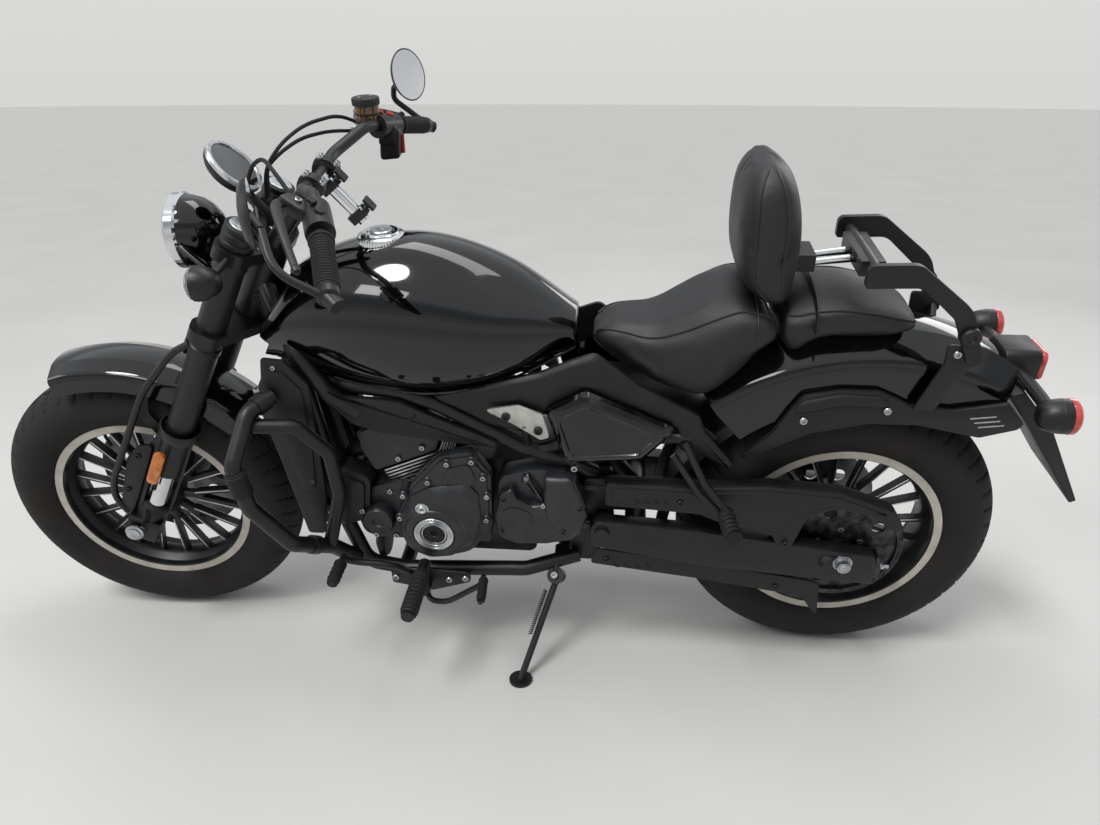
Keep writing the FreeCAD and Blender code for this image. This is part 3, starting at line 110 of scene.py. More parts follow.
# The curve that takes a corner from where it is entered to where it is left
def cornerCurve(enter, at, leave, steps):
    shares = [k / steps for k in range(steps + 1)]
    return [enter * (1 - t) ** 2 + at * 2 * t * (1 - t) + leave * t ** 2 for t in shares]


# The path through points, each corner rounded off
def rounded(points, bend, steps=6):
    spots = [Vector(point) for point in points]
    path = [spots[0]]
    for before, at, after in zip(spots, spots[1:], spots[2:]):
        reach = min(bend, 0.48 * (before - at).length, 0.48 * (after - at).length)
        enter, leave = at + (before - at).normalized() * reach, at + (after - at).normalized() * reach
        path += cornerCurve(enter, at, leave, steps)
    return path + [spots[-1]]


def sweep(path, section, up=None):
    rings, side = [], None
    for i, at in enumerate(path):
        heading = (path[min(i + 1, len(path) - 1)] - path[max(i - 1, 0)]).normalized()
        if up is not None:
            side = heading.cross(Vector(up)).normalized()
        else:
            side = heading.orthogonal() if side is None else side - heading * side.dot(heading)
            side.normalize()
        over = side.cross(heading)
        share = i / (len(path) - 1)
        rings.append([at + side * u + over * v for u, v in section(share)])
    return shell(rings)


def tube(points, radius, bend=30, sides=16, steps=6):
    turns = [2 * math.pi * k / sides for k in range(sides)]
    wide = radius if callable(radius) else lambda share: radius
    return sweep(rounded(points, bend, steps),
                 lambda share: [(wide(share) * math.cos(a), wide(share) * math.sin(a)) for a in turns])


# A bar of rectangular section with chamfered corners
def bar(points, width, depth, up, chamfer=1.5, bend=20):
    a, b, c = width / 2, depth / 2, chamfer
    corners = [(a - c, -b), (a, -b + c), (a, b - c), (a - c, b), (c - a, b), (-a, b - c), (-a, c - b), (c - a, -b)]
    return sweep(rounded(points, bend), lambda share: corners, up)


# The points of an outline whose corners are (u, v) or (u, v, radius)
def outlined(corners, steps=5):
    count, points = len(corners), []
    for i, corner in enumerate(corners):
        at = Vector(corner[:2])
        radius = corner[2] if len(corner) > 2 else 0
        if not radius:
            points.append(at)
            continue
        before, after = Vector(corners[i - 1][:2]), Vector(corners[(i + 1) % count][:2])
        toBefore, toAfter = before - at, after - at
        half = max(toBefore.angle(toAfter) / 2, 0.05)
        reach = min(radius / math.tan(half), 0.48 * toBefore.length, 0.48 * toAfter.length)
        enter, leave = at + toBefore.normalized() * reach, at + toAfter.normalized() * reach
        points += cornerCurve(enter, at, leave, steps)
    return points


def shrunk(points, inset):
    count = len(points)
    area = sum(points[i - 1].x * points[i].y - points[i].x * points[i - 1].y for i in range(count))
    sign = 1 if area > 0 else -1
    moved = []
    for i in range(count):
        before, after = points[i] - points[i - 1], points[(i + 1) % count] - points[i]
        normal = before.normalized() + after.normalized()
        normal = Vector((-normal.y, normal.x)).normalized() * sign
        moved.append(points[i] + normal * inset)
    return moved


# Where a drawing's u and v and its height w lie
planes = {"side": lambda u, v, w: Vector((u, w, v)), "top": lambda u, v, w: Vector((u, v, w)),
          "front": lambda u, v, w: Vector((w, u, v))}


def oblong(low, high, radius=0):
    return [(u, v, radius) for u, v in (low, (high[0], low[1]), high, (low[0], high[1]))]


# Corners moved outward by an amount, their radii kept
def grown(corners, amount):
    points = [Vector(c[:2]) for c in corners]
    area = sum(a.x * b.y - b.x * a.y for a, b in zip(points, points[1:] + points[:1]))
    sign, moved = (1 if area > 0 else -1), []
    for before, at, after, corner in zip(points[-1:] + points, points, points[1:] + points[:1], corners):
        first, second = (at - before).normalized(), (after - at).normalized()
        outward = Vector(((first + second).y, -(first + second).x)).normalized() * sign
        reach = amount / max(0.5, outward.dot(Vector((first.y, -first.x)) * sign))
        moved.append(tuple(at + outward * reach) + tuple(corner[2:]))
    return moved


# An outline extruded from near to far, with bevelled rims
def plate(corners, near, far, bevel=2.0, plane="side", steps=5):
    points, put = outlined(corners, steps), planes[plane]
    sign = 1 if far > near else -1
    small = min(bevel, abs(far - near) * 0.45)
    levels = [(small, near), (small * 0.3, near + sign * small * 0.3), (0, near + sign * small),
              (0, far - sign * small), (small * 0.3, far - sign * small * 0.3), (small, far)]
    rings = [[put(p.x, p.y, w) for p in (shrunk(points, inset) if inset else points)] for inset, w in levels]
    return shell(rings)


# An outline carried through steps of (inset, height)
def stepped(corners, levels, plane="side", steps=5):
    put = planes[plane]
    return shell([[put(p.x, p.y, w) for p in outlined(grown(corners, -inset), steps)] for inset, w in levels])


def hexed(radius, angle):
    return radius * 0.87 / math.cos((angle % (math.pi / 3)) - math.pi / 6)


# Rings of a cap screw with a socket and of a nut: share of the radius, share of the height, hexagon or round
screwRings = [(1, 0, False), (1, 0.75, False), (0.88, 1, False), (0.55, 1, True), (0.5, 0.35, True),
              (0.02, 0.3, True)]
nutRings = [(1, 0, True), (1, 0.85, True), (0.9, 1, False), (0.5, 1, False), (0.5, 0.6, False),
            (0.02, 0.6, False)]


# A fastener with its seat at centre
def screw(centre, axis, radius=6, height=5, rows=screwRings, steps=24):
    axis, centre = Vector(axis).normalized(), Vector(centre)
    side = axis.orthogonal().normalized()
    up = axis.cross(side)
    turns = [2 * math.pi * k / steps for k in range(steps)]
    rings = []
    for share, along, hexagon in rows:
        reach = radius * share
        rings.append([centre + axis * (along * height)
                      + (side * math.cos(a) + up * math.sin(a)) * (hexed(reach, a) if hexagon else reach)
                      for a in turns])
    return shell(rings)


def hexNut(centre, axis, radius, height):
    return screw(centre, axis, radius, height, nutRings)


def flipped(forms):
    return [([Vector((p[0], -p[1], p[2])) for p in points], [tuple(reversed(f)) for f in faces])
            for points, faces in forms]


def both(forms):
    return forms + flipped(forms)


def formMesh(name, forms, where, weld=True):
    mesh = bpy.data.meshes.new(name)
    points, faces = [], []
    for formPoints, formFaces in forms:
        base = len(points)
        points += [where @ Vector(p) for p in formPoints]
        faces += [tuple(base + k for k in face) for face in formFaces]
    mesh.from_pydata(points, [], faces)
    work = bmesh.new()
    work.from_mesh(mesh)
    if weld:
        bmesh.ops.remove_doubles(work, verts=work.verts, dist=2e-6)
    bmesh.ops.recalc_face_normals(work, faces=work.faces)
    work.to_mesh(mesh)
    work.free()
    return mesh


def linked(name, data):
    item = bpy.data.objects.new(name, data)
    bpy.context.scene.collection.objects.link(item)
    return item


# A piece is drawn where its body is, unless it has a place of its own
def piece(name, forms, body, finish, smooth=38, hides=(), where=None):
    mesh = formMesh(name, forms, homes[body] if where is None else where)
    mesh.shade_smooth()
    mesh.set_sharp_from_angle(angle=math.radians(smooth))
    mesh.materials.append(finishes[finish])
    item = linked(name, mesh)
    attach(item, body)
    if hides:
        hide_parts(*hides)
    return item


def screws(name, spots, body="frame", axis=(0, 1, 0), radius=6, height=5, finish="zinc",
           mirrored=False, where=None):
    forms = [screw(spot, axis, radius, height) for spot in spots]
    return piece(name, both(forms) if mirrored else forms, body, finish, smooth=30, where=where)


# Finishes

def colour(code):
    parts = [int(code[i:i + 2], 16) / 255 for i in (1, 3, 5)]
    return tuple(p / 12.92 if p <= 0.04045 else ((p + 0.055) / 1.055) ** 2.4 for p in parts) + (1,)


def addNode(tree, kind, inputs=None, **settings):
    item = tree.nodes.new(kind)
    for key, value in settings.items():
        setattr(item, key, value)
    for key, value in (inputs or {}).items():
        if isinstance(value, bpy.types.NodeSocket):
            tree.links.new(value, item.inputs[key])
        else:
            item.inputs[key].default_value = value
    return item


def newFinish(name):
    material = bpy.data.materials.new(name)
    material.use_nodes = True
    tree = material.node_tree
    tree.nodes.clear()
    shader = addNode(tree, "ShaderNodeBsdfPrincipled")
    output = addNode(tree, "ShaderNodeOutputMaterial")
    tree.links.new(shader.outputs[0], output.inputs["Surface"])
    coords = addNode(tree, "ShaderNodeTexCoord").outputs["Object"]
    return material, tree, shader, coords


def ramp(tree, value, stops):
    item = addNode(tree, "ShaderNodeValToRGB", {"Fac": value})
    first, last = item.color_ramp.elements
    first.position, first.color = stops[0][0], colour(stops[0][1])
    last.position, last.color = stops[-1][0], colour(stops[-1][1])
    for position, code in stops[1:-1]:
        item.color_ramp.elements.new(position).color = colour(code)
    return item.outputs["Color"]


# A finish with mottled colour, uneven gloss and a fine grain. Patches and grains are counted per metre: 1000 is a
# grain of 1 mm, where the real one of 0.05 to 0.5 mm is too fine to show.
def grained(name, dark, light, rough, patches=25, grains=900, bump=0.1, depth=0.0003, metallic=0, coat=0,
            sheen=0, stretch=(1, 1, 1), shine=0.5):
    material, tree, shader, coords = newFinish(name)
    scaled = addNode(tree, "ShaderNodeMapping", {"Vector": coords, "Scale": stretch}).outputs[0]
    broad = addNode(tree, "ShaderNodeTexNoise", {"Vector": scaled, "Scale": patches, "Detail": 5.0})
    fine = addNode(tree, "ShaderNodeTexNoise", {"Vector": scaled, "Scale": grains, "Detail": 3.0})
    tree.links.new(ramp(tree, broad.outputs["Fac"], [(0.35, dark), (0.7, light)]), shader.inputs["Base Color"])
    spread = addNode(tree, "ShaderNodeMapRange", {"Value": broad.outputs["Fac"], "From Min": 0.3, "From Max": 0.7,
                                                  "To Min": rough[0], "To Max": rough[1]})
    tree.links.new(spread.outputs[0], shader.inputs["Roughness"])
    relief = addNode(tree, "ShaderNodeBump", {"Height": fine.outputs["Fac"], "Strength": bump, "Distance": depth})
    tree.links.new(relief.outputs[0], shader.inputs["Normal"])
    shader.inputs["Metallic"].default_value = metallic
    shader.inputs["Coat Weight"].default_value = coat
    shader.inputs["Coat Roughness"].default_value = 0.04
    shader.inputs["Sheen Weight"].default_value = sheen
    shader.inputs["Specular IOR Level"].default_value = shine
    return material


# Leather: pebbled cells of 1.6 mm, twice the real ones so that they show, with fine creases between them
def leatherFinish(name, dark, light):
    material, tree, shader, coords = newFinish(name)
    cells = addNode(tree, "ShaderNodeTexVoronoi", {"Vector": coords, "Scale": 620.0},
                    feature="DISTANCE_TO_EDGE")
    broad = addNode(tree, "ShaderNodeTexNoise", {"Vector": coords, "Scale": 18.0, "Detail": 6.0})
    tree.links.new(ramp(tree, broad.outputs["Fac"], [(0.3, dark), (0.75, light)]), shader.inputs["Base Color"])
    spread = addNode(tree, "ShaderNodeMapRange", {"Value": broad.outputs["Fac"], "To Min": 0.36, "To Max": 0.58})
    tree.links.new(spread.outputs[0], shader.inputs["Roughness"])
    pebble = addNode(tree, "ShaderNodeMapRange", {"Value": cells.outputs["Distance"], "From Max": 0.25})
    relief = addNode(tree, "ShaderNodeBump", {"Height": pebble.outputs[0], "Strength": 0.35, "Distance": 0.0004})
    tree.links.new(relief.outputs[0], shader.inputs["Normal"])
    return material


# Moulded polycarbonate lens, ribbed every 4 mm inside, which breaks up what is seen through it
def lensFinish(name, tint, rough, body="#ffffff", clear=0.9):
    material, tree, shader, coords = newFinish(name)
    ribs = addNode(tree, "ShaderNodeTexVoronoi", {"Vector": coords, "Scale": 260.0})
    relief = addNode(tree, "ShaderNodeBump", {"Height": ribs.outputs["Distance"], "Strength": 0.25,
                                              "Distance": 0.0008})
    tree.links.new(relief.outputs[0], shader.inputs["Normal"])
    broad = addNode(tree, "ShaderNodeTexNoise", {"Vector": coords, "Scale": 60.0})
    tree.links.new(ramp(tree, broad.outputs["Fac"], [(0.3, tint), (0.7, body)]), shader.inputs["Base Color"])
    shader.inputs["Roughness"].default_value = rough
    shader.inputs["Transmission Weight"].default_value = clear
    shader.inputs["Coat Weight"].default_value = 0.6
    return material


finishes = {
    # Tank and fenders, black paint under clear coat: deep and even, with sharp reflections
    "gloss": grained("glossPaint", "#020203", "#050506", (0.1, 0.16), 8, 300, 0.02, 0.0001, coat=1.0, shine=0.1),
    # Frame, fork and guards, powder coated steel: soft highlights over a faint orange peel
    "satin": grained("powderCoat", "#0a0a0b", "#131415", (0.36, 0.48), 20, 1400, 0.18, 0.0002, shine=0.42),
    # Engine castings, painted aluminium: greyer than the frame and sandy, with broad highlights
    "cast": grained("paintedCasting", "#16171a", "#242629", (0.3, 0.42), 30, 1100, 0.3, 0.0003),
    # Trims and housings, moulded ABS: a dull black with a fine moulded grain
    "plastic": grained("mouldedPlastic", "#090a0a", "#121313", (0.4, 0.56), 16, 1900, 0.3, 0.0002, shine=0.4),
    # Grips, pegs and hoses, moulded rubber: matt, with hardly a highlight
    "rubber": grained("mouldedRubber", "#0d0d0e", "#181818", (0.6, 0.82), 30, 1500, 0.3, 0.0003, shine=0.35),
    # Tyres, rubber with road dust in it: brownish, dry and uneven
    "tyre": grained("tyreRubber", "#121112", "#262321", (0.7, 0.92), 14, 1300, 0.5, 0.0004, shine=0.35),
    # Headlamp ring, cap and bar, chrome plate: a bright mirror with almost no grain
    "chrome": grained("chromePlate", "#c9cbce", "#e4e6e8", (0.05, 0.12), 12, 200, 0.01, 0.0001, metallic=1.0),
    # Fasteners, zinc plated steel: greyish, with a cloudy shine
    "zinc": grained("zincPlate", "#9a9ca0", "#c6c8cb", (0.22, 0.38), 60, 900, 0.1, 0.0001, metallic=1.0),
    # Machined aluminium: pale, its highlights drawn out across the tool marks
    "machined": grained("machinedAlloy", "#b4b6b9", "#dfe1e3", (0.22, 0.4), 30, 500, 0.15, 0.0001, metallic=1.0,
                        stretch=(1, 6, 1)),
    # Chain and sprockets, oiled steel: dim, with small glints
    "darkSteel": grained("darkSteel", "#2b2b2d", "#55565a", (0.3, 0.5), 60, 900, 0.2, 0.0002, metallic=1.0),
    # Brake discs, ground steel: mid grey, with a blurred shine
    "disc": grained("groundSteel", "#86888b", "#9b9da0", (0.26, 0.38), 60, 1400, 0.12, 0.0001, metallic=1.0),
    # Pinstripe on the rims, beige enamel: plain and half glossy
    "stripe": grained("rimEnamel", "#aaa49a", "#c2bcb2", (0.25, 0.4), 30, 700, 0.05, 0.0001, coat=0.5),
    # Hanger plates, aluminium under satin clear coat: pale and soft
    "silver": grained("satinAlloy", "#a6a6a2", "#c9c8c4", (0.28, 0.4), 40, 900, 0.1, 0.0001, metallic=0.9),
    # Seats, embossed black vinyl: pebbled, shining more where it is stretched
    "leather": leatherFinish("seatLeather", "#0a0a0b", "#141416"),
    # Piping of the seats, the same vinyl drawn tight: smoother and a little paler
    "piping": grained("seatPiping", "#0e0e0f", "#18181a", (0.4, 0.55), 40, 1500, 0.2, 0.0002),
    # Rear lenses, red polycarbonate: glowing colour with a glassy skin
    "red": lensFinish("redLens", "#b3201c", 0.1, "#e2504a", 0.25),
    # Reflectors, amber polycarbonate: ribbed, glowing orange
    "amber": lensFinish("amberLens", "#c2660c", 0.1, "#f09020", 0.3),
    # Headlamp and indicator lenses, clear polycarbonate: what is behind it shows, rippled
    "clear": lensFinish("clearLens", "#dfe3e6", 0.04, "#f4f6f8", 0.85),
    # Dial, dark glass: black with clean reflections
    "glass": grained("dialGlass", "#050607", "#0b0d10", (0.04, 0.08), 10, 200, 0.01, 0.0001, coat=1.0),
    # Mirrors, silvered glass: the brightest and smoothest surface
    "mirror": grained("mirrorSilver", "#dadde0", "#e8eaec", (0.02, 0.04), 10, 200, 0.005, 0.0001, metallic=1.0),
    # Switches, red moulded ABS: a dull red
    "redPlastic": grained("redSwitch", "#8c1212", "#b61c1a", (0.35, 0.5), 40, 900, 0.1, 0.0002),
    # Brake fluid behind the reservoir's window: amber and half clear
    "fluid": lensFinish("brakeFluid", "#4f300c", 0.08, "#84571c", 0.4),
    # Radiator core, painted fins with dust: dull, with a fine upright grain
    "core": grained("radiatorFins", "#0c0c0d", "#1f1f20", (0.5, 0.7), 30, 700, 0.6, 0.0006, stretch=(1, 1, 8)),
}
print("finishes ready")


# Wheels

wheelSizes = {
    "rear": dict(centre=rearAxle, body="rear_wheel", radius=322.7, width=150, crown=80, rimWidth=116, hub=97, turn=6),
    "front": dict(centre=frontAxle, body="front_wheel", radius=319.7, width=130, crown=68, rimWidth=90, hub=68,
                  turn=14),
}
treadSizes = dict(step=2.2, around=420, centreGroove=17, grooveWidth=4.5, depth=4.5, blocks=46, slant=0.011, cut=0.14,
                  wave=3, sidewallLines=(234, 262, 291), lineHeight=0.9)
rimSizes = dict(seat=203, flange=11, well=183, stripeIn=196.5, stripeOut=212.5, spokes=10, spokeDepth=20, fork=96,
                stem=17, branch=10.5, lean=8.5, edgeLine=2.6, bore=10.5, neck=27.5)


def arcPoints(first, middle, last, steps):
    points = []
    for k in range(steps):
        t = k / steps
        a, b, c = (1 - t) * (1 - 2 * t), 4 * t * (1 - t), t * (2 * t - 1)
        points.append(tuple(a * p + b * q + c * r for p, q, r in zip(first, middle, last)))
    return points


def tyreProfile(wheel):
    flange, edge = rimSizes["seat"] + rimSizes["flange"] + 0.4, wheel["rimWidth"] / 2
    shoulder = wheel["width"] * 0.42
    core = wheel["radius"] - wheel["crown"]
    shoulderRadius = core + math.sqrt(wheel["crown"] ** 2 - shoulder ** 2)
    bulge = (flange + (shoulderRadius - flange) * 0.5, wheel["width"] / 2 - 0.5)
    side = [(rimSizes["seat"] + 1, edge - 12), (flange - 1, edge - 5)]
    side += arcPoints((flange, edge + 0.5), bulge, (shoulderRadius, shoulder), 14)
    count = int(2 * shoulder / treadSizes["step"])
    crown = []
    for k in range(count + 1):
        y = shoulder - 2 * shoulder * k / count
        crown.append((core + math.sqrt(wheel["crown"] ** 2 - y ** 2), y))
    return side + crown + [(r, -y) for r, y in reversed(side)], len(side), shoulder


# How deep the tread is cut at a place, from the angle round the wheel and the distance from its middle
def treadDepth(angle, y, shoulder):
    wave = treadSizes["wave"] * math.sin(angle * treadSizes["blocks"])
    if abs(abs(y) - treadSizes["centreGroove"] - wave) < treadSizes["grooveWidth"] / 2:
        return treadSizes["depth"]
    if abs(y) > treadSizes["centreGroove"] + 8:
        along = angle / (2 * math.pi) * treadSizes["blocks"] + abs(y) * treadSizes["slant"]
        if (along + (0.5 if y > 0 else 0)) % 1 < treadSizes["cut"]:
            return treadSizes["depth"] * 0.8
    return 0


def sidewallRelief(radius):
    height = treadSizes["lineHeight"]
    return sum(height * math.exp(-((radius - line) / 1.2) ** 2) for line in treadSizes["sidewallLines"])


def tyreForm(wheel):
    profile, sideCount, shoulder = tyreProfile(wheel)
    centre, rings = wheel["centre"], []
    core = wheel["radius"] - wheel["crown"]
    for k in range(treadSizes["around"]):
        angle = 2 * math.pi * k / treadSizes["around"]
        outward = Vector((math.cos(angle), 0, math.sin(angle)))
        ring = []
        for i, (radius, y) in enumerate(profile):
            if sideCount <= i < len(profile) - sideCount:
                cut = treadDepth(angle, y, shoulder) / wheel["crown"]
                radius, y = radius - (radius - core) * cut, y * (1 - cut)
            elif radius > 225:
                y += math.copysign(sidewallRelief(radius) - treadSizes["lineHeight"], y)
            ring.append(centre + outward * radius + Vector((0, y, 0)))
        rings.append(ring)
    return shell(rings, loop=True)


def rimForm(wheel):
    edge, seat, well = wheel["rimWidth"] / 2, rimSizes["seat"], rimSizes["well"]
    lip = seat + rimSizes["flange"]
    half = [(lip, edge), (lip, edge - 6), (seat, edge - 10), (seat, edge - 24), (well + 9, edge - 32)]
    inner = [(seat - 7, edge), (seat - 9, edge - 2), (seat - 9, edge - 16), (well + 3, edge - 28), (well, edge - 34)]
    profile = [(r, -y) for r, y in half] + [(r, y) for r, y in reversed(half)]
    profile += inner + [(r, -y) for r, y in reversed(inner)]
    return lathe(profile, wheel["centre"], steps=96, loop=True)


def wheelPoint(wheel, radius, degrees, y=0.0):
    a = math.radians(degrees)
    return wheel["centre"] + Vector((radius * math.cos(a), y, radius * math.sin(a)))


def spokeForms(wheel):
    dark, bright = [], []
    half = rimSizes["spokeDepth"] / 2
    for i in range(rimSizes["spokes"]):
        turn = wheel["turn"] + 360 * i / rimSizes["spokes"]
        root, fork = wheelPoint(wheel, 30, turn), wheelPoint(wheel, rimSizes["fork"], turn)
        dark.append(bar([root, fork], rimSizes["stem"], rimSizes["spokeDepth"], (0, 1, 0), 4))
        for lean in (-rimSizes["lean"], rimSizes["lean"]):
            start = wheelPoint(wheel, rimSizes["fork"] - 16, turn + lean * 0.5)
            end = wheelPoint(wheel, rimSizes["well"] + 3, turn + lean)
            dark.append(bar([start, end], rimSizes["branch"], rimSizes["spokeDepth"], (0, 1, 0), 3))
            outward = (end - start).normalized().cross(Vector((0, 1, 0))) * math.copysign(3.6, lean) * 0.9
            for side in (-1, 1):
                shift = Vector((0, side * (half + 0.1), 0)) + outward
                bright.append(bar([start + shift, end + shift], rimSizes["edgeLine"], 0.9, (0, 1, 0), 0.3))
    return dark, bright


def hubForm(wheel):
    wide, bore, neck = wheel["hub"], rimSizes["bore"], rimSizes["neck"]
    profile = [(bore, -wide), (neck, -wide), (neck, -wide + 12), (36, -wide + 14), (46, -26), (52, -14), (52, 14),
               (46, 26), (36, wide - 24), (neck, wide - 22), (neck, wide), (bore, wide)]
    return lathe(profile, wheel["centre"], steps=64, loop=True)


def wheelPieces():
    inner, outer, well = rimSizes["stripeIn"], rimSizes["stripeOut"], rimSizes["well"]
    for name, wheel in wheelSizes.items():
        body, centre = wheel["body"], wheel["centre"]
        piece(name + "TyreTread", [tyreForm(wheel)], body, "tyre", smooth=60, hides=[name + "_tyre"])
        dark, bright = spokeForms(wheel)
        piece(name + "CastWheel", [rimForm(wheel), hubForm(wheel)] + dark, body, "satin", smooth=30,
              hides=[name + "_rim"])
        piece(name + "SpokeEdges", bright, body, "machined")
        edge = wheel["rimWidth"] / 2
        stripe = [(inner, edge + 0.1), (inner, edge + 0.6), (outer, edge + 0.6), (outer, edge + 0.1)]
        rings = [lathe([(r, y * side) for r, y in stripe], centre, steps=128, loop=True) for side in (-1, 1)]
        piece(name + "RimStripe", rings, body, "stripe")
        valve = tube([wheelPoint(wheel, well, 40, 20), wheelPoint(wheel, well - 26, 40, 26)], 3.5)
        piece(name + "Valve", [valve], body, "rubber")
    print("wheels ready")


wheelPieces()


# The frame's own nodes that show as they are

shownNodes = {
    "satin": ["frame_upper", "frame_cradle", "fork_clamps", "fork_tubes", "engine_guards", "handlebar", "exhaust",
              "backrest_frame", "right_foot_controls", "passenger_pegs", "side_stand", "shock_absorber",
              "rear_caliper", "front_caliper", "fork_legs"],
    "gloss": ["rear_fender", "front_fender"],
    "cast": ["engine_cases", "engine_cylinder", "clutch_cover"],
    "plastic": ["horn", "rear_indicators"],
    "disc": ["front_disc", "rear_disc"],
    "darkSteel": ["drive_chain", "rear_sprocket"],
    "zinc": ["rear_axle"],
    "core": ["radiator"],
}


def dressNodes():
    for finish, names in shownNodes.items():
        for name in names:
            for holder in frame["nodes"][name].material_slots:
                holder.material = finishes[finish]
    print("frame nodes dressed")


dressNodes()


# Curves through a table of rows, whose first column runs along the piece
def throughRows(table, count):
    rows = [[float(v) for v in row] for row in table]
    result = []
    for k in range(count):
        at = k / (count - 1) * (len(rows) - 1)
        i = min(int(at), len(rows) - 2)
        t = at - i
        before, a, b, after = rows[max(i - 1, 0)], rows[i], rows[i + 1], rows[min(i + 2, len(rows) - 1)]
        result.append([0.5 * (2 * q + (r - p) * t + (2 * p - 5 * q + 4 * r - s) * t * t
                              + (3 * q - p - 3 * r + s) * t ** 3) for p, q, r, s in zip(before, a, b, after)])
    return result


def smoothRing(ring, rounds):
    for turn in range(rounds):
        count = len(ring)
        ring = [(ring[k - 1] + ring[k] * 2 + ring[(k + 1) % count]) / 4 for k in range(count)]
    return ring


def circleArc(first, middle, last, steps):
    a, b, c = Vector(first), Vector(middle), Vector(last)
    p, q = b - a, c - a
    cross = 2 * (p.x * q.y - p.y * q.x)
    centre = a + Vector((q.y * p.length_squared - p.y * q.length_squared,
                         p.x * q.length_squared - q.x * p.length_squared)) / cross
    start = math.atan2(a.y - centre.y, a.x - centre.x)
    mid = (math.atan2(b.y - centre.y, b.x - centre.x) - start) % (2 * math.pi)
    end = (math.atan2(c.y - centre.y, c.x - centre.x) - start) % (2 * math.pi)
    sweepAngle = end if mid < end else end - 2 * math.pi
    radius = (a - centre).length
    turns = [start + sweepAngle * k / steps for k in range(steps)]
    return [centre + Vector((math.cos(turn), math.sin(turn))) * radius for turn in turns]


# Fuel tank. Rows: x, underside, crest, half width and its height, half width below, at the shoulder, shoulder height
tankSizes = dict(
    rows=[(1130, 712, 800, 80, 764, 54, 50, 786), (1060, 700, 880, 108, 780, 72, 66, 852),
          (940, 680, 930, 142, 780, 100, 84, 898), (800, 676, 938, 152, 780, 118, 84, 904),
          (660, 696, 892, 128, 790, 92, 66, 864), (540, 740, 806, 62, 776, 40, 40, 796)],
    front=((0.7, 3), (0.88, 2.5), (0.96, 1.2)), back=((0.95, -2), (0.85, -3.5), (0.6, -5)), neck=(1072, 56),
    cap=(896, 0, 925), lock=36, restTurn=-3.49, post=(39, 105, 33), clampHeights=(854, 1034), clampDepth=36,
    clamp=[(-40, -36, 20), (-40, 36, 20), (13, 147, 16), (75, 147, 20), (81, 105, 20), (34, 0, 40), (81, -105, 20),
           (75, -147, 20), (13, -147, 16)])


def tankRing(row):
    x, low, top, wide, wideZ, below, above, shoulder = row
    side = circleArc((below, low), (wide, wideZ), (above, shoulder), 16)
    crest = circleArc((above, shoulder), (0, top), (-above, shoulder), 18)
    left = [Vector((-p.x, p.y)) for p in reversed(side)]
    under = [Vector((below * (1 - 2 * k / 10), low)) for k in range(10, 0, -1)]
    ring = smoothRing(side + crest + left + under, 3)
    return [Vector((x, p.x, p.y)) for p in ring]


def shrinkRing(ring, share, shift):
    middle = sum(ring, Vector()) / len(ring)
    return [middle + (p - middle) * share + Vector((shift, 0, 0)) for p in ring]


# The mesh that an object's modifiers give becomes its own
def applyModifiers(item):
    graph = bpy.context.evaluated_depsgraph_get()
    mesh = bpy.data.meshes.new_from_object(item.evaluated_get(graph))
    item.modifiers.clear()
    item.data = mesh
    return mesh


def cutAway(item, cutters):
    bpy.context.view_layer.update()
    for cutter in cutters:
        modifier = item.modifiers.new("cut", "BOOLEAN")
        modifier.object, modifier.operation, modifier.solver = cutter, "DIFFERENCE", "EXACT"
    applyModifiers(item)
    for cutter in cutters:
        bpy.data.objects.remove(cutter)


def cutterObject(name, form, where):
    return linked(name, formMesh(name, [form], where, weld=False))


# The room that the fork's clamps and tubes sweep at both locks
def tankCutters():
    x, y, radius = tankSizes["post"]
    low, high = tankSizes["clampHeights"]
    straight = onFork @ Matrix.Rotation(math.radians(tankSizes["restTurn"]), 4, "Z")
    cutters = []
    for side in (1, -1):
        locked = straight @ Matrix.Rotation(math.radians(side * tankSizes["lock"]), 4, "Z")
        post = lathe([(radius, low), (radius, high + 36)], (x, side * y, 0), (0, 0, 1), 32)
        cutters.append(cutterObject("lockPost", post, locked))
        for z in (low, high):
            clamp = plate(tankSizes["clamp"], z, z + tankSizes["clampDepth"], 0.5, "top")
            cutters.append(cutterObject("lockClamp", clamp, locked))
    x, half = tankSizes["neck"]
    block = plate(oblong((x, -half), (1200, half)), 600, 1000, 1, "top")
    return cutters + [cutterObject("neckRoom", block, onBike)]


def fuelTank():
    rings = [tankRing(row) for row in throughRows(tankSizes["rows"], 44)]
    start = [shrinkRing(rings[0], share, shift) for share, shift in tankSizes["front"]]
    end = [shrinkRing(rings[-1], share, shift) for share, shift in tankSizes["back"]]
    tank = piece("tankShell", [shell(start + rings + end)], "frame", "gloss", smooth=50,
                 hides=["fuel_tank"])
    cutAway(tank, tankCutters())
    lip = [Vector((x, below + 3, low + 1))
           for x, low, top, wide, wideZ, below, above, shoulder in throughRows(tankSizes["rows"], 24)[5:]]
    piece("tankSeam", both([tube(lip, 2.5, bend=5, sides=8)]), "frame", "gloss")


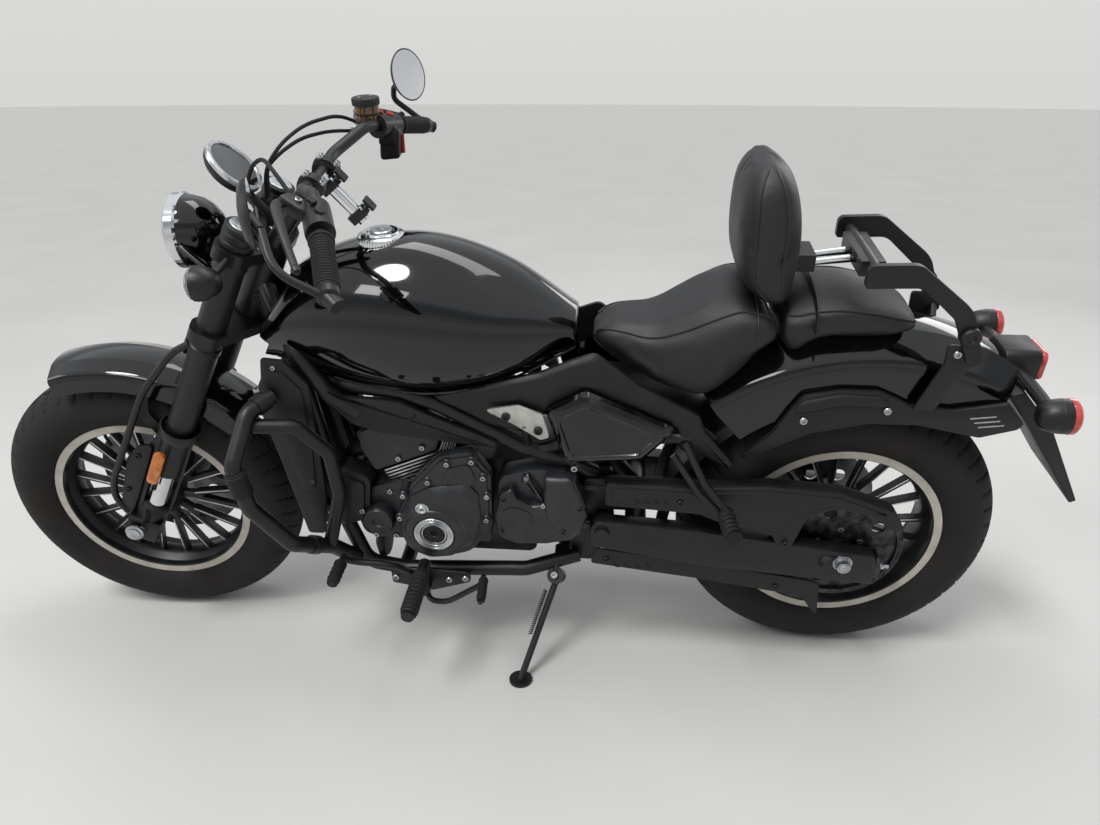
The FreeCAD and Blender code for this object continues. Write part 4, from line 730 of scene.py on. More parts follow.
def fuelCap():
    centre, up = Vector(tankSizes["cap"]), (0, 0, 1)
    x, z = centre.x, centre.z
    rings = []
    for radius, height in ((39, 0.5), (43.5, 2), (43.5, 12), (42, 15), (36, 17.5)):
        ring = []
        for k in range(144):
            a = 2 * math.pi * k / 144
            knurl = 1.4 if height in (2, 12) and k % 3 == 0 else 0
            ring.append(centre + Vector(((radius - knurl) * math.cos(a), (radius - knurl) * math.sin(a), height)))
        rings.append(ring)
    inner = lathe([(33, 14), (33, 19), (31, 20.5), (25, 20.5), (24, 18)], centre, up, 64, loop=True)
    piece("capRing", [shell(rings), inner], "frame", "chrome", smooth=30, hides=["fuel_cap"])
    lock = lathe([(0, 16), (20, 16), (20, 22), (18, 23.5), (9, 23.5), (8.5, 21), (0, 21)], centre, up)
    piece("capLock", [lock], "frame", "machined", smooth=30)
    gap = lathe([(24, 15), (33, 15), (33, 17.8), (24, 17.8)], centre, up, 64, loop=True)
    piece("capGap", [gap], "frame", "rubber")
    slot = plate(oblong((x - 5, -1.2), (x + 5, 1.2)), z + 21, z + 21.4, 0.2, "top")
    piece("keySlot", [slot], "frame", "rubber")


fuelTank()
fuelCap()
print("tank ready")


# Padded pieces: a rounded form, swollen as cloth, with piping laid on it after. Rows: x, underside, top, half width,
# and for the back pad z, rear, front, half width.

padding = dict(voxel=0.005, frames=20, pressure=4.0, cap=0.007, ringSteps=48, piping=2.6, seam=1.8, padSeam=1.9)
riderSeat = dict(rows=[(188, 792, 834, 112), (214, 764, 856, 126), (252, 712, 868, 128), (300, 668, 852, 128),
                       (350, 676, 824, 120), (400, 694, 800, 103), (450, 716, 798, 80), (486, 738, 792, 60),
                       (505, 752, 776, 42)], corner=3.4, dish=9)
pillionSeat = dict(rows=[(174, 776, 844, 96), (150, 756, 850, 103), (110, 782, 856, 107), (60, 792, 856, 108),
                         (10, 796, 848, 104), (-30, 798, 834, 92), (-54, 802, 822, 74)], corner=3.0, dish=-3)
backPad = dict(rows=[(856, 178, 206, 88), (870, 168, 232, 104), (900, 165, 258, 113), (940, 164, 268, 116),
                     (1000, 167, 269, 115), (1045, 178, 266, 108), (1072, 195, 254, 92), (1086, 212, 238, 70)],
               corner=3.2)


def rounder(u, power):
    return math.copysign(abs(u) ** (2 / power), u)


def ringTurns():
    return [2 * math.pi * k / padding["ringSteps"] for k in range(padding["ringSteps"])]


def seatRing(row, shape):
    x, low, high, half = row
    ring = []
    for a in ringTurns():
        y, z = half * rounder(math.cos(a), shape["corner"]), rounder(math.sin(a), shape["corner"])
        dip = shape["dish"] * (1 - (y / half) ** 2) if z > 0 else 0
        ring.append(Vector((x, y, (low + high) / 2 + z * (high - low) / 2 - dip)))
    return ring


def padRing(row, shape):
    z, rear, front, half = row
    middle, reach, corner = (rear + front) / 2, (front - rear) / 2, shape["corner"]
    return [Vector((middle + reach * rounder(math.cos(a), corner), half * rounder(math.sin(a), corner), z))
            for a in ringTurns()]


def cushionForm(shape, ringOf, count=30):
    rings = [ringOf(row, shape) for row in throughRows(shape["rows"], count)]
    onward = (sum(rings[-1], Vector()) - sum(rings[0], Vector())).normalized()
    ends = []
    for ring, push in ((rings[0], -onward), (rings[-1], onward)):
        middle = sum(ring, Vector()) / len(ring)
        ends.append([[middle + (p - middle) * s + push * t for p in ring] for s, t in ((0.9, 3), (0.6, 5))])
    return shell(list(reversed(ends[0])) + rings + ends[1])


def swell(item):
    remesh = item.modifiers.new("remesh", "REMESH")
    remesh.mode, remesh.voxel_size = "VOXEL", padding["voxel"]
    mesh = applyModifiers(item)
    before = [v.co.copy() for v in mesh.vertices]
    cloth = item.modifiers.new("cloth", "CLOTH")
    cloth.settings.use_pressure = True
    cloth.settings.uniform_pressure_force = padding["pressure"]
    cloth.settings.effector_weights.gravity = 0
    for number in range(1, padding["frames"] + 1):
        bpy.context.scene.frame_set(number)
    graph = bpy.context.evaluated_depsgraph_get()
    after = [v.co.copy() for v in item.evaluated_get(graph).data.vertices]
    item.modifiers.clear()
    for vertex, old, new in zip(mesh.vertices, before, after):
        step = new - old
        vertex.co = old + step * min(1, padding["cap"] / max(step.length, 1e-9))
    smooth = item.modifiers.new("smooth", "SMOOTH")
    smooth.iterations, smooth.factor = 4, 0.5
    finer = item.modifiers.new("finer", "SUBSURF")
    finer.levels = finer.render_levels = 1
    applyModifiers(item).shade_smooth()


def cushion(name, shape, ringOf, hides):
    item = piece(name, [cushionForm(shape, ringOf)], "frame", "leather", smooth=80, hides=hides)
    swell(item)
    return item


# A line on a padded piece: points dropped on its surface and lifted by the share of the tube that stands out
def laid(item, points, lift):
    tree = BVHTree.FromPolygons([v.co for v in item.data.vertices], [p.vertices for p in item.data.polygons])
    back = onBike.inverted()
    result = []
    for point in points:
        place, normal = tree.find_nearest(onBike @ Vector(point))[:2]
        result.append(back @ (place + normal * lift * 0.001))
    return result


def pipeOn(item, points, radius, lift):
    return tube(laid(item, points, lift), radius, bend=3, sides=8, steps=2)


# The lines along a seat at the given angles round its section
def seatPiping(item, shape, angles):
    rows, steps = throughRows(shape["rows"], 26)[1:-1], padding["ringSteps"]
    lines = [[seatRing(row, shape)[int(round(degrees / 360 * steps)) % steps] for row in rows] for degrees in angles]
    return [pipeOn(item, line, padding["piping"], 0.6) for line in lines]


# The line over a seat at one of its rows
def seatCrossing(shape, number):
    return seatRing(throughRows(shape["rows"], 26)[number], shape)[:padding["ringSteps"] // 2 + 1]


def seats():
    rider = cushion("riderCushion", riderSeat, seatRing, ["rider_seat"])
    pillion = cushion("pillionCushion", pillionSeat, seatRing, ["pillion_seat"])
    pad = cushion("backCushion", backPad, padRing, ["backrest_pad"])
    forms = seatPiping(rider, riderSeat, (45, 135))
    forms.append(pipeOn(rider, seatCrossing(riderSeat, 4), padding["seam"], 0.4))
    piece("riderPiping", forms, "frame", "piping")
    piece("pillionPiping", seatPiping(pillion, pillionSeat, (38, 142)), "frame", "piping")
    strap = bar(laid(pillion, seatCrossing(pillionSeat, 7), 1.2), 30, 2.6, (1, 0, 0), 0.8, 3)
    piece("pillionStrap", [strap], "frame", "piping")
    seams = []
    for share in (0.24, 0.8):
        run = [Vector((rear + (front - rear) * share, half + 4, z))
               for z, rear, front, half in throughRows(backPad["rows"], 24)]
        outline = run + [Vector((p.x, -p.y, p.z)) for p in reversed(run)]
        seams.append(pipeOn(pad, outline, padding["padSeam"], 0.3))
    piece("padPiping", seams, "frame", "piping")
    print("seats ready")


seats()


# Engine, drawn as (x, z, corner radius); a cover's steps are (inset or radius, height above face)

engine = dict(face=150, caseHalf=108.3, barrel=(850, 455, 23.8), fins=6, finPitch=7.5)
alternator = dict(
    centre=(818, 368), plug=(837, 430),
    outline=[(893, 350, 22), (893, 400, 22), (862, 470, 14), (800, 541, 18), (734, 556, 16), (698, 501, 18),
             (701, 373, 30), (750, 300, 40), (850, 268, 60)],
    bosses=[(877, 449), (824, 486), (782, 532), (733, 540), (713, 502), (708, 456), (712, 396), (890, 391)],
    plateau=[(884, 408, 20), (862, 450, 14), (822, 474, 20), (746, 490, 10), (724, 462, 10), (722, 400, 60),
             (742, 330, 40), (789, 296, 30), (836, 288, 30), (880, 310, 40), (892, 356, 40)],
    plateauSteps=[(0, -10), (1, -3), (3, -1), (17, 9), (20, 10.5), (26, 11)],
    lobe=[(797, 478, 6), (780, 522, 8), (738, 532, 12), (726, 492, 10), (742, 476, 10)],
    lobeSteps=[(0, -10), (0, -4), (3, -2), (9, -1)],
    drum=[(62, -6), (61, 8), (57, 13), (50, 14), (43, 14), (42, 11), (0, 11)],
    ring=[(41, 10), (41, 15), (40, 16.5), (35, 16.5), (34.5, 15.8), (34, 16.5), (28.5, 16.5), (27.5, 14), (27.5, 10)],
    innerRing=[(26.2, 10), (26.2, 14), (25.5, 14.6), (23, 14.6), (22, 10)],
    middle=[(0, 11), (7, 11), (8, 12.5), (12, 13.4), (21, 13.4), (22, 11), (22, 9), (0, 9)],
    plugHead=[(9.5, 6), (9.5, 13), (8.5, 14.5), (5.5, 14.5), (5, 13.5), (0, 13.5)],
    plugRim=[(13.5, 6), (13.5, 11.6), (12, 12.6), (10.5, 12.6), (10.5, 6)])


def fromFace(rows):
    return [(inset, engine["face"] + height) for inset, height in rows]


def cylinderMatrix():
    x, z, tilt = engine["barrel"]
    return onBike @ Matrix.Translation((x, 0, z)) @ Matrix.Rotation(math.radians(tilt), 4, "Y")


def alternatorCover():
    face, outline = engine["face"], alternator["outline"]
    (x, z), (plugX, plugZ) = alternator["centre"], alternator["plug"]
    boss = [(9.5, 112), (9.5, face - 8), (8, face - 6), (0, face - 6)]
    forms = [plate(outline, engine["caseHalf"], face - 14, 5), plate(grown(outline, -7), face - 16, face - 8, 3)]
    forms += [lathe(boss, (bossX, 0, bossZ), steps=24) for bossX, bossZ in alternator["bosses"]]
    forms += [stepped(alternator[name], fromFace(alternator[name + "Steps"])) for name in ("plateau", "lobe")]
    forms.append(lathe(fromFace(alternator["drum"]), (x, 0, z), steps=96))
    piece("alternatorCase", forms, "frame", "cast", smooth=34, hides=["alternator_cover"])
    screws("alternatorScrews", [(bossX, face - 6, bossZ) for bossX, bossZ in alternator["bosses"]], radius=5.5)
    rings = [lathe(fromFace(alternator[name]), (x, 0, z), steps=96, loop=True) for name in ("ring", "innerRing")]
    piece("alternatorRing", rings, "frame", "machined", smooth=34)
    middle = lathe(fromFace(alternator["middle"]), (x, 0, z), steps=64)
    piece("alternatorCentre", [middle], "frame", "plastic", smooth=34)
    plug = [lathe(fromFace(alternator["plugHead"]), (plugX, 0, plugZ)),
            lathe(fromFace(alternator["plugRim"]), (plugX, 0, plugZ), loop=True)]
    piece("fillerPlug", plug, "frame", "machined")
    slot = plate(oblong((plugX - 4, plugZ - 1), (plugX + 4, plugZ + 1)), face + 13, face + 14.7, 0.2)
    piece("fillerSlot", [slot], "frame", "plastic")
    print("alternator cover ready")


sprocketCase = dict(
    inside=74, floor=124, armHub=(630, 0, 492),
    outline=[(690, 372, 14), (690, 470, 20), (679, 492, 14), (620, 507, 20), (545, 507, 24), (514, 436, 14),
             (520, 371, 14), (564, 333, 20), (650, 336, 24)],
    recess=[(697, 400, 30), (690, 350, 30), (654, 334, 20), (590, 338, 20), (536, 352, 20), (512, 400, 20),
            (512, 440, 14), (534, 504, 10), (592, 508, 6), (594, 462, 8), (598, 440, 10), (620, 434, 16),
            (648, 452, 14), (657, 476, 8), (682, 464, 20)],
    recessSteps=[(0, -32), (0, -10), (3, -5), (9, -2), (12, -1.6)],
    box=[(594, 508, 6), (540, 508, 8), (522, 462, 14), (508, 418, 14), (524, 364, 20), (572, 366, 60),
         (596, 420, 40)],
    boxSteps=[(0, -8), (1, -4), (8, 2.4), (12, 3)],
    hollow=[(684, 398, 24), (672, 358, 24), (640, 352, 24), (614, 392, 30), (622, 424, 14), (650, 436, 20),
            (676, 430, 20)],
    hollowSteps=[(0, -6), (1, 0.6), (4, 1.4), (9, -0.8), (11, -1)],
    arm=[(628, 126, 500), (624, 136, 494), (597, 140, 444)], rod=[(638, 128, 488), (604, 136, 444)],
    armBolts=[((630, 133, 497), 4, 4), ((596, 148, 443), 5, 5)],
    screws=[(674, 147, 452), (680, 147, 374), (556, 152, 380), (524, 151, 440)])


def sprocketCover():
    floor = sprocketCase["floor"]
    forms = [plate(sprocketCase["outline"], sprocketCase["inside"], floor, 6)]
    forms += [stepped(sprocketCase[name], fromFace(sprocketCase[name + "Steps"]))
              for name in ("recess", "box", "hollow")]
    piece("sprocketCase", forms, "frame", "cast", smooth=34, hides=["sprocket_cover"])
    hub = [(9, floor - 2), (9, floor + 8), (7, floor + 10), (0, floor + 10)]
    arm = [tube(sprocketCase["arm"], 4.2, bend=6, sides=12), tube(sprocketCase["rod"], 3, bend=6, sides=12),
           lathe(hub, sprocketCase["armHub"], steps=32)]
    piece("clutchArm", arm, "frame", "darkSteel")
    pivots = [screw(spot, (0, 1, 0), radius, height) for spot, radius, height in sprocketCase["armBolts"]]
    piece("clutchArmBolts", pivots, "frame", "zinc", smooth=30)
    screws("sprocketScrews", sprocketCase["screws"], radius=5, height=4, finish="satin")


def barrelDetail():
    where = cylinderMatrix()
    path = outlined(oblong((-68, -97), (68, 97), 14), 6)
    edges = []
    for i in range(engine["fins"]):
        z = 9.5 + i * engine["finPitch"]
        ring = [Vector((p.x, p.y, z)) for p in path + path[:1]]
        edges.append(sweep(ring, lambda share: [(-1.7, -1.2), (0.5, -1.6), (0.5, 1.6), (-1.7, 1.2)], (0, 0, 1)))
    piece("finEdges", edges, "frame", "machined", where=where)
    head = [(-74, 108, 6), (78, 108, 6), (72, 150, 18), (-52, 150, 18), (-74, 122, 10)]
    piece("headCover", [plate(head, -92, 92, 6)], "frame", "cast", smooth=34, where=where)
    screws("headScrews", [(14, 101, 66), (-44, 101, 72)], where=where)
    screws("barrelNuts", [(x, 98, 4) for x in (-48, 0, 48)], radius=5, where=where)


casing = dict(
    front=[(900, 300, 16), (985, 305, 30), (1000, 380, 30), (985, 430, 20), (900, 440, 16)],
    waterPump=[(34, 104), (34, 128), (30, 134), (12, 134), (10, 131), (0, 131)], pumpAt=(942, 0, 366), sumpRibs=6,
    frontScrews=[(958, 107, 312), (982, 107, 384), (915, 107, 430), (915, 107, 312)],
    clutchDome=[(82, -150), (80, -166), (72, -170), (20, -170), (18, -168), (0, -168)],
    clutchPlate=[(600, 330, 30), (600, 470, 40), (720, 500, 30), (860, 470, 40), (900, 380, 40), (860, 290, 40),
                 (700, 290, 50)],
    clutchScrews=[(612, -153, 350), (612, -153, 460), (720, -153, 488), (846, -153, 462), (884, -153, 380),
                  (850, -153, 302), (702, -153, 302)],
    canister=[(1032, 478, 10), (999, 492, 14), (946, 470, 20), (961, 364, 14), (1022, 341, 14), (1035, 400, 20)],
    canisterLid=[(1022, 460, 10), (996, 474, 10), (958, 462, 14), (970, 380, 10), (1014, 360, 10)])


def caseDetail():
    forms = [plate(casing["front"], 60, 106, 8), lathe(casing["waterPump"], casing["pumpAt"], steps=64)]
    forms += [plate(oblong((x, 246), (x + 10, 300), 4), -64, 64, 2)
              for x in (640 + 44 * i for i in range(casing["sumpRibs"]))]
    piece("caseFront", forms, "frame", "cast", smooth=34)
    screws("caseScrews", casing["frontScrews"])
    clutch = [lathe(casing["clutchDome"], (690, 0, 395), steps=96),
              plate(grown(casing["clutchPlate"], -8), -150, -158, 5)]
    piece("clutchDome", clutch, "frame", "cast", smooth=34)
    screws("clutchScrews", casing["clutchScrews"], axis=(0, -1, 0))
    canister = [plate(casing["canister"], 70, 122, 6), plate(casing["canisterLid"], 118, 130, 5)]
    piece("canister", canister, "frame", "plastic", smooth=34)
    screws("canisterScrews", [(1010, 124, 468), (972, 128, 392)])


alternatorCover()
sprocketCover()
barrelDetail()
caseDetail()
print("engine ready")


# Radiator, shroud and engine guards

shroud = dict(
    tilt=8.6, fins=52, finPitch=6, near=126, far=139.5,
    panel=[(1143, 662, 10), (1120, 704, 8), (1112, 748, 8), (1070, 744, 8), (1030, 692, 10), (1034, 560, 30),
           (1040, 430, 20), (1058, 330, 10), (1094, 330, 10), (1112, 470, 40), (1128, 600, 30)],
    raised=[(1122, 690, 8), (1104, 726, 8), (1074, 722, 8), (1044, 684, 10), (1046, 560, 20), (1056, 450, 14),
            (1084, 450, 10), (1102, 560, 20)],
    clamps=[((1112, 170, 673), (28, 44, -8)), ((1056, 200, 358), (30, 60, 60))], clampRadius=19, clampHalf=12,
    sliderAt=(1139, 266, 560), sliderAlong=(8, 0, 60), sliderRadius=17.2, sliderCrown=2.6)


def sliderRadius(share):
    return shroud["sliderRadius"] + shroud["sliderCrown"] * min(1, 6 * share, 6 * (1 - share))


def radiatorPieces():
    where = onBike @ Matrix.Translation((1094, 0, 350)) @ Matrix.Rotation(math.radians(shroud["tilt"]), 4, "Y")
    heights = [8 + k * shroud["finPitch"] for k in range(shroud["fins"])]
    fins = [plate(oblong((-33, -104), (0.6, 104)), z, z + 1.2, 0.3, "top") for z in heights]
    piece("radiatorFins", fins, "frame", "core", where=where)
    near, far = shroud["near"], shroud["far"]
    forms = [plate(shroud["panel"], near, far - 4, 3), plate(shroud["raised"], far - 5, far, 3)]
    piece("shroudPanels", both(forms), "frame", "plastic", smooth=34, hides=["radiator_shroud"])
    screws("shroudScrews", [(1062, far - 4, 470), (1090, far - 4, 730)], radius=5, height=4)
    caps, sliders = [], []
    for side in (1, -1):
        mirror = Vector((1, side, 1))
        for at, ahead in shroud["clamps"]:
            start, step = Vector(at) * mirror, (Vector(ahead) * mirror).normalized() * shroud["clampHalf"]
            caps.append(tube([start - step, start + step], shroud["clampRadius"], bend=2, sides=24))
        at, along = Vector(shroud["sliderAt"]) * mirror, Vector(shroud["sliderAlong"]).normalized()
        sliders.append(tube([at + along * step for step in (-26, -20, 20, 26)], sliderRadius, bend=2, sides=24))
    piece("guardClamps", caps, "frame", "plastic")
    piece("guardSliders", sliders, "frame", "rubber")
    screws("guardBolts", [(1118, 160, 694), (1118, -160, 694)], axis=(0.2, 0, 1), radius=7, height=6)


radiatorPieces()
print("radiator ready")


# Covers on the frame

panels = dict(
    side=[(590, 655, 20), (516, 699, 20), (345, 622, 14), (405, 552, 16), (556, 536, 20)],
    sideSteps=[(3, 122), (0, 126), (0, 130), (4, 138), (12, 145.5), (17, 147.6), (21, 147.6), (23, 145), (25, 144)],
    frame=[(1018, 690, 8), (998, 640, 20), (964, 600, 30), (900, 581, 20), (689, 557, 4), (684, 571, 4),
           (805, 626, 30), (867, 656, 30), (975, 661, 20)],
    hanger=[(706, 654, 6), (640, 666, 14), (594, 648, 8), (582, 596, 8), (600, 590, 8), (650, 624, 24)],
    seat=[(812, 668, 10), (760, 641, 10), (700, 607, 10), (640, 592, 10), (592, 640, 8), (516, 690, 12),
          (345, 612, 12), (338, 560, 20), (300, 556, 20), (238, 520, 6), (234, 534, 6), (292, 604, 10),
          (306, 640, 10), (417, 700, 40), (500, 765, 20), (545, 748, 12), (600, 722, 30), (700, 694, 60)],
    seatSteps=[(0, 104), (0, 112), (5, 119), (11, 121.5)],
    tray=[(530, 650, 20), (330, 634, 20), (252, 566, 20), (300, 548, 20), (420, 560, 40), (536, 596, 30)],
    stay=[(628, 104, 562), (630, 131, 622)],
    web=[(520, 474, 12), (436, 474, 12), (424, 396, 10), (516, 396, 10)])


def frameTrim():
    piece("sidePanels", both([stepped(panels["side"], panels["sideSteps"])]), "frame", "gloss",
          smooth=20, hides=["side_covers"])
    screws("sidePanelScrews", [(536, 128, 524)], radius=7, height=7)
    covers = [plate(panels["frame"], 106.5, 124, 5), stepped(panels["seat"], panels["seatSteps"])]
    piece("framePanels", both(covers), "frame", "plastic", smooth=34, hides=["frame_covers"])
    hanger = [plate(panels["hanger"], 129.3, 137, 2.5)]
    piece("hangerAlloy", both(hanger), "frame", "silver", smooth=34, hides=["hanger_plates"])
    stays = [tube(panels["stay"], 8), plate(panels["web"], 84, 97, 3)]
    piece("seatTray", [plate(panels["tray"], -84, 84, 8)] + both(stays), "frame", "plastic")
    screws("hangerBolts", [(663, 137, 641), (603, 137, 612)], radius=8.5, height=4, finish="satin",
           mirrored=True)
    screws("panelBolts", [(960, 124, 634), (842, 124, 625), (724, 124, 578)], radius=5, height=3, finish="satin",
           mirrored=True)


frameTrim()


# Swingarm, chain guards and rear axle

arm = dict(
    inner=104, outer=140,
    outline=[(505, 398, 25), (284, 384, 200), (-66, 338, 14), (-72, 262, 14), (277, 292, 200), (505, 332, 25)],
    blockPlate=[(-20, 334, 12), (44, 340, 12), (44, 306, 12), (-20, 300, 12)],
    endCap=[(-66, 334, 6), (-72, 334, 6), (-80, 300, 6), (-72, 266, 6), (-66, 266, 6)],
    axle=323, washer=[(19, 140.3), (19, 144.3), (9, 144.3)], axleEnd=[(10, 156), (10, 160), (8, 162), (0, 162)],
    adjuster=[(-74, 122, 302), (-98, 122, 301)])


def rearArm():
    legs = [plate(arm["outline"], arm["inner"], arm["outer"], 7)]
    cross = lathe([(22, -106), (22, 106)], (412, 0, 358))
    piece("armLegs", both(legs) + [cross], "frame", "satin", smooth=34, hides=["swingarm"])
    trim = [plate(arm["blockPlate"], 139, 143, 1.5), plate(arm["endCap"], 106, 138, 2)]
    piece("armPlates", both(trim), "frame", "darkSteel", smooth=34)
    height = arm["axle"]
    nuts = [hexNut((0, 144, height), (0, 1, 0), 14, 14), lathe(arm["washer"], (0, 0, height)),
            lathe(arm["axleEnd"], (0, 0, height), steps=32), tube(arm["adjuster"], 4.5, bend=1, sides=12),
            hexNut((-82, 122, 302), (-1, 0, 0), 8, 6)]
    piece("axleNuts", both(nuts), "frame", "zinc", smooth=30)
    piece("pivotNuts", both([hexNut((480, 140.5, 372), (0, 1, 0), 15, 9)]), "frame", "satin",
          smooth=30)


guards = dict(
    upper=[(476, 440, 10), (476, 494, 10), (301, 491, 40), (160, 502, 60), (25, 493, 60), (-76, 455, 40),
           (-103, 411, 8), (-88, 402, 6), (-38, 440, 30), (32, 456, 40), (83, 432, 30), (104, 352, 6),
           (132, 352, 6), (146, 382, 8), (245, 407, 20), (292, 428, 20)],
    lower=[(490, 326, 8), (503, 286, 8), (274, 256, 20), (64, 221, 10), (24, 158, 8), (34, 262, 20), (277, 300)],
    dome=[(462, 452, 6), (462, 486, 8), (300, 483, 30), (160, 494, 50), (30, 485, 50), (-70, 446, 30),
          (-34, 455, 30), (30, 470, 40), (100, 452, 40), (140, 400, 14), (240, 424, 20), (296, 446, 20)],
    upperSlots=(404, 386, 368, 350), lowerSlots=(440, 418, 396, 374),
    screws=[(118, 140, 366), (470, 138, 300), (120, 138, 246), (330, 143, 460)])


def chainGuards():
    forms = [plate(guards["upper"], 104.5, 140, 5), plate(guards["lower"], 132, 138, 2),
             plate(guards["dome"], 138, 143, 3)]
    piece("guardCovers", forms, "frame", "plastic", smooth=34, hides=["chain_guards"])
    slots = [plate([(x, 452, 3), (x + 9, 452, 3), (x + 17, 466, 3), (x + 8, 466, 3)], 142, 143.4, 0.3)
             for x in guards["upperSlots"]]
    slots += [plate([(x, 277, 3), (x + 10, 279, 3), (x + 18, 292, 3), (x + 8, 290, 3)], 137, 138.4, 0.3)
              for x in guards["lowerSlots"]]
    piece("guardSlots", slots, "frame", "rubber")
    screws("guardScrews", guards["screws"], height=4, finish="satin")


def sprocketCarrier():
    turns = [2 * math.pi * k / 5 + 0.3 for k in range(5)]
    spots = [(math.cos(a) * 44, 88.5, arm["axle"] + math.sin(a) * 44) for a in turns]
    screws("carrierBolts", spots, body="rear_wheel", radius=6.5, height=6)


rearArm()
chainGuards()
sprocketCarrier()
print("swingarm ready")


# Rear end: fender rails, lamps, rack and plate frame

rail = dict(
    near=92.3, far=105.7, screws=[(117, 635), (-27, 662)],
    outline=[(228, 540, 6), (168, 604, 30), (146, 650, 12), (124, 686, 20), (60, 700, 60), (-8, 700, 16),
             (-40, 686, 10), (-64, 674, 10), (-141, 666, 20), (-235, 683, 8), (-272, 640, 8), (-262, 628, 8),
             (-200, 608, 14), (-86, 631, 60), (0, 630, 60), (100, 604, 60), (190, 552, 30)],
    rim=[(140, 650, 10), (128, 676, 20), (60, 694, 60), (-10, 692, 14), (-34, 676, 8), (-12, 668, 10),
         (60, 668, 60), (112, 652, 14)],
    rimSteps=[(0, -1), (0, 2), (4, 6), (8, 7)], slots=3)
# Bands of the inner guard: inner and outer radius, half width, distance from the middle
innerGuard = dict(fromDegrees=6, degrees=56, steps=24,
                  bands=[(349, 353, 74, 0), (349, 372, 4, -76), (349, 372, 4, 76)])
rearLamps = dict(
    tail=((-42, 690), (42, 752), 12, 16), lampAt=(-285, 172, 704),
    lens=[(30.4, -9), (31, -11), (31, -18), (28, -22), (18, -23.6), (0, -24)],
    cup=[(30.3, -8), (30.3, -2), (29.2, 10), (26, 24), (18, 36), (8, 40.4), (0, 41)],
    stalk=[(-266, 40, 712), (-274, 100, 706), (-276, 150, 702)])
rack = dict(
    pivot=[(17, 112), (17, 129), (14, 132), (7, 132), (6, 130), (0, 130)], pivotAt=(-125, 0, 823),
    strut=[(-98, 802, 8), (-154, 796, 8), (-158, 764, 8), (-142, 756, 8), (-104, 668, 6), (-66, 668, 6),
           (-100, 764, 8)],
    bolts=[(-116, 113, 785), (-141, 113, 781)], rod=[(6.3, 0), (6.3, 58)],
    plateFrame=[(-298, 612, 8), (-236, 690, 10), (-262, 700, 8), (-332, 622, 8), (-423.6, 462, 4), (-412, 456, 4)])


def fenderRails():
    near, far = rail["near"], rail["far"]
    rim = [(inset, far + height) for inset, height in rail["rimSteps"]]
    piece("fenderTrim", both([plate(rail["outline"], near, far, 4), stepped(rail["rim"], rim)]), "frame", "plastic",
          smooth=34, hides=["fender_rails"])
    inner, steps = [], innerGuard["steps"]
    turns = [math.radians(innerGuard["fromDegrees"] + innerGuard["degrees"] * k / steps) for k in range(steps + 1)]
    for low, high, half, y in innerGuard["bands"]:
        corners = [(low, -half), (high, -half), (high, half), (low, half)]
        inner.append(shell([[Vector((math.cos(a) * r, y + w, arm["axle"] + math.sin(a) * r)) for r, w in corners]
                            for a in turns]))
    piece("innerFender", inner, "frame", "plastic")
    slots = [plate([(x, z, 2), (x - 44, z + 6, 2), (x - 44, z + 9, 2), (x, z + 3, 2)], far - 1, far + 0.4, 0.2)
             for x, z in ((-174 - 9 * k, 649 - 9 * k) for k in range(rail["slots"]))]
    piece("trimSlots", both(slots), "frame", "zinc")
    screws("trimBolts", [(x, far, z) for x, z in rail["screws"]], radius=7.5, mirrored=True)


def rearLights():
    (left, low), (right, high), lowRadius, highRadius = rearLamps["tail"]
    case = [(left, low, lowRadius), (right, low, lowRadius), (right, high, highRadius), (left, high, highRadius)]
    piece("tailCase", [plate(case, -300, -234, 5, "front")], "frame", "plastic", smooth=34,
          hides=["tail_light"])
    glass = [(left + 4, low + 4, 10), (right - 4, low + 4, 10), (right - 4, high - 4, 14), (left + 4, high - 4, 14)]
    piece("tailLens", [plate(glass, -311, -299, 4, "front")], "frame", "red", smooth=34)
    forms = [lathe(rearLamps[name], rearLamps["lampAt"], (1, 0, 0), 64) for name in ("lens", "cup")]
    piece("rearLenses", both(forms[:1]), "frame", "red", smooth=30)
    piece("rearLampStubs", both([tube(rearLamps["stalk"], 12, bend=20, sides=24)] + forms[1:]), "frame", "satin",
          smooth=50)


def rackPieces():
    struts = [lathe(rack["pivot"], rack["pivotAt"]), plate(rack["strut"], 106.3, 113, 2)]
    piece("rackStruts", both(struts), "frame", "satin")
    screws("rackBolts", rack["bolts"], radius=7, mirrored=True)
    rods = [lathe(rack["rod"], (124, y, 908.4), (-1, 0, 0.154), 24) for y in (18, -18)]
    piece("rackRods", rods, "frame", "chrome")
    piece("plateFrame", [plate(rack["plateFrame"], -90, 90, 3)], "frame", "plastic", smooth=34,
          hides=["plate_holder"])


fenderRails()
rearLights()
rackPieces()
print("rear end ready")


# Fork, drawn along the steering axis; each leg stands at legAt

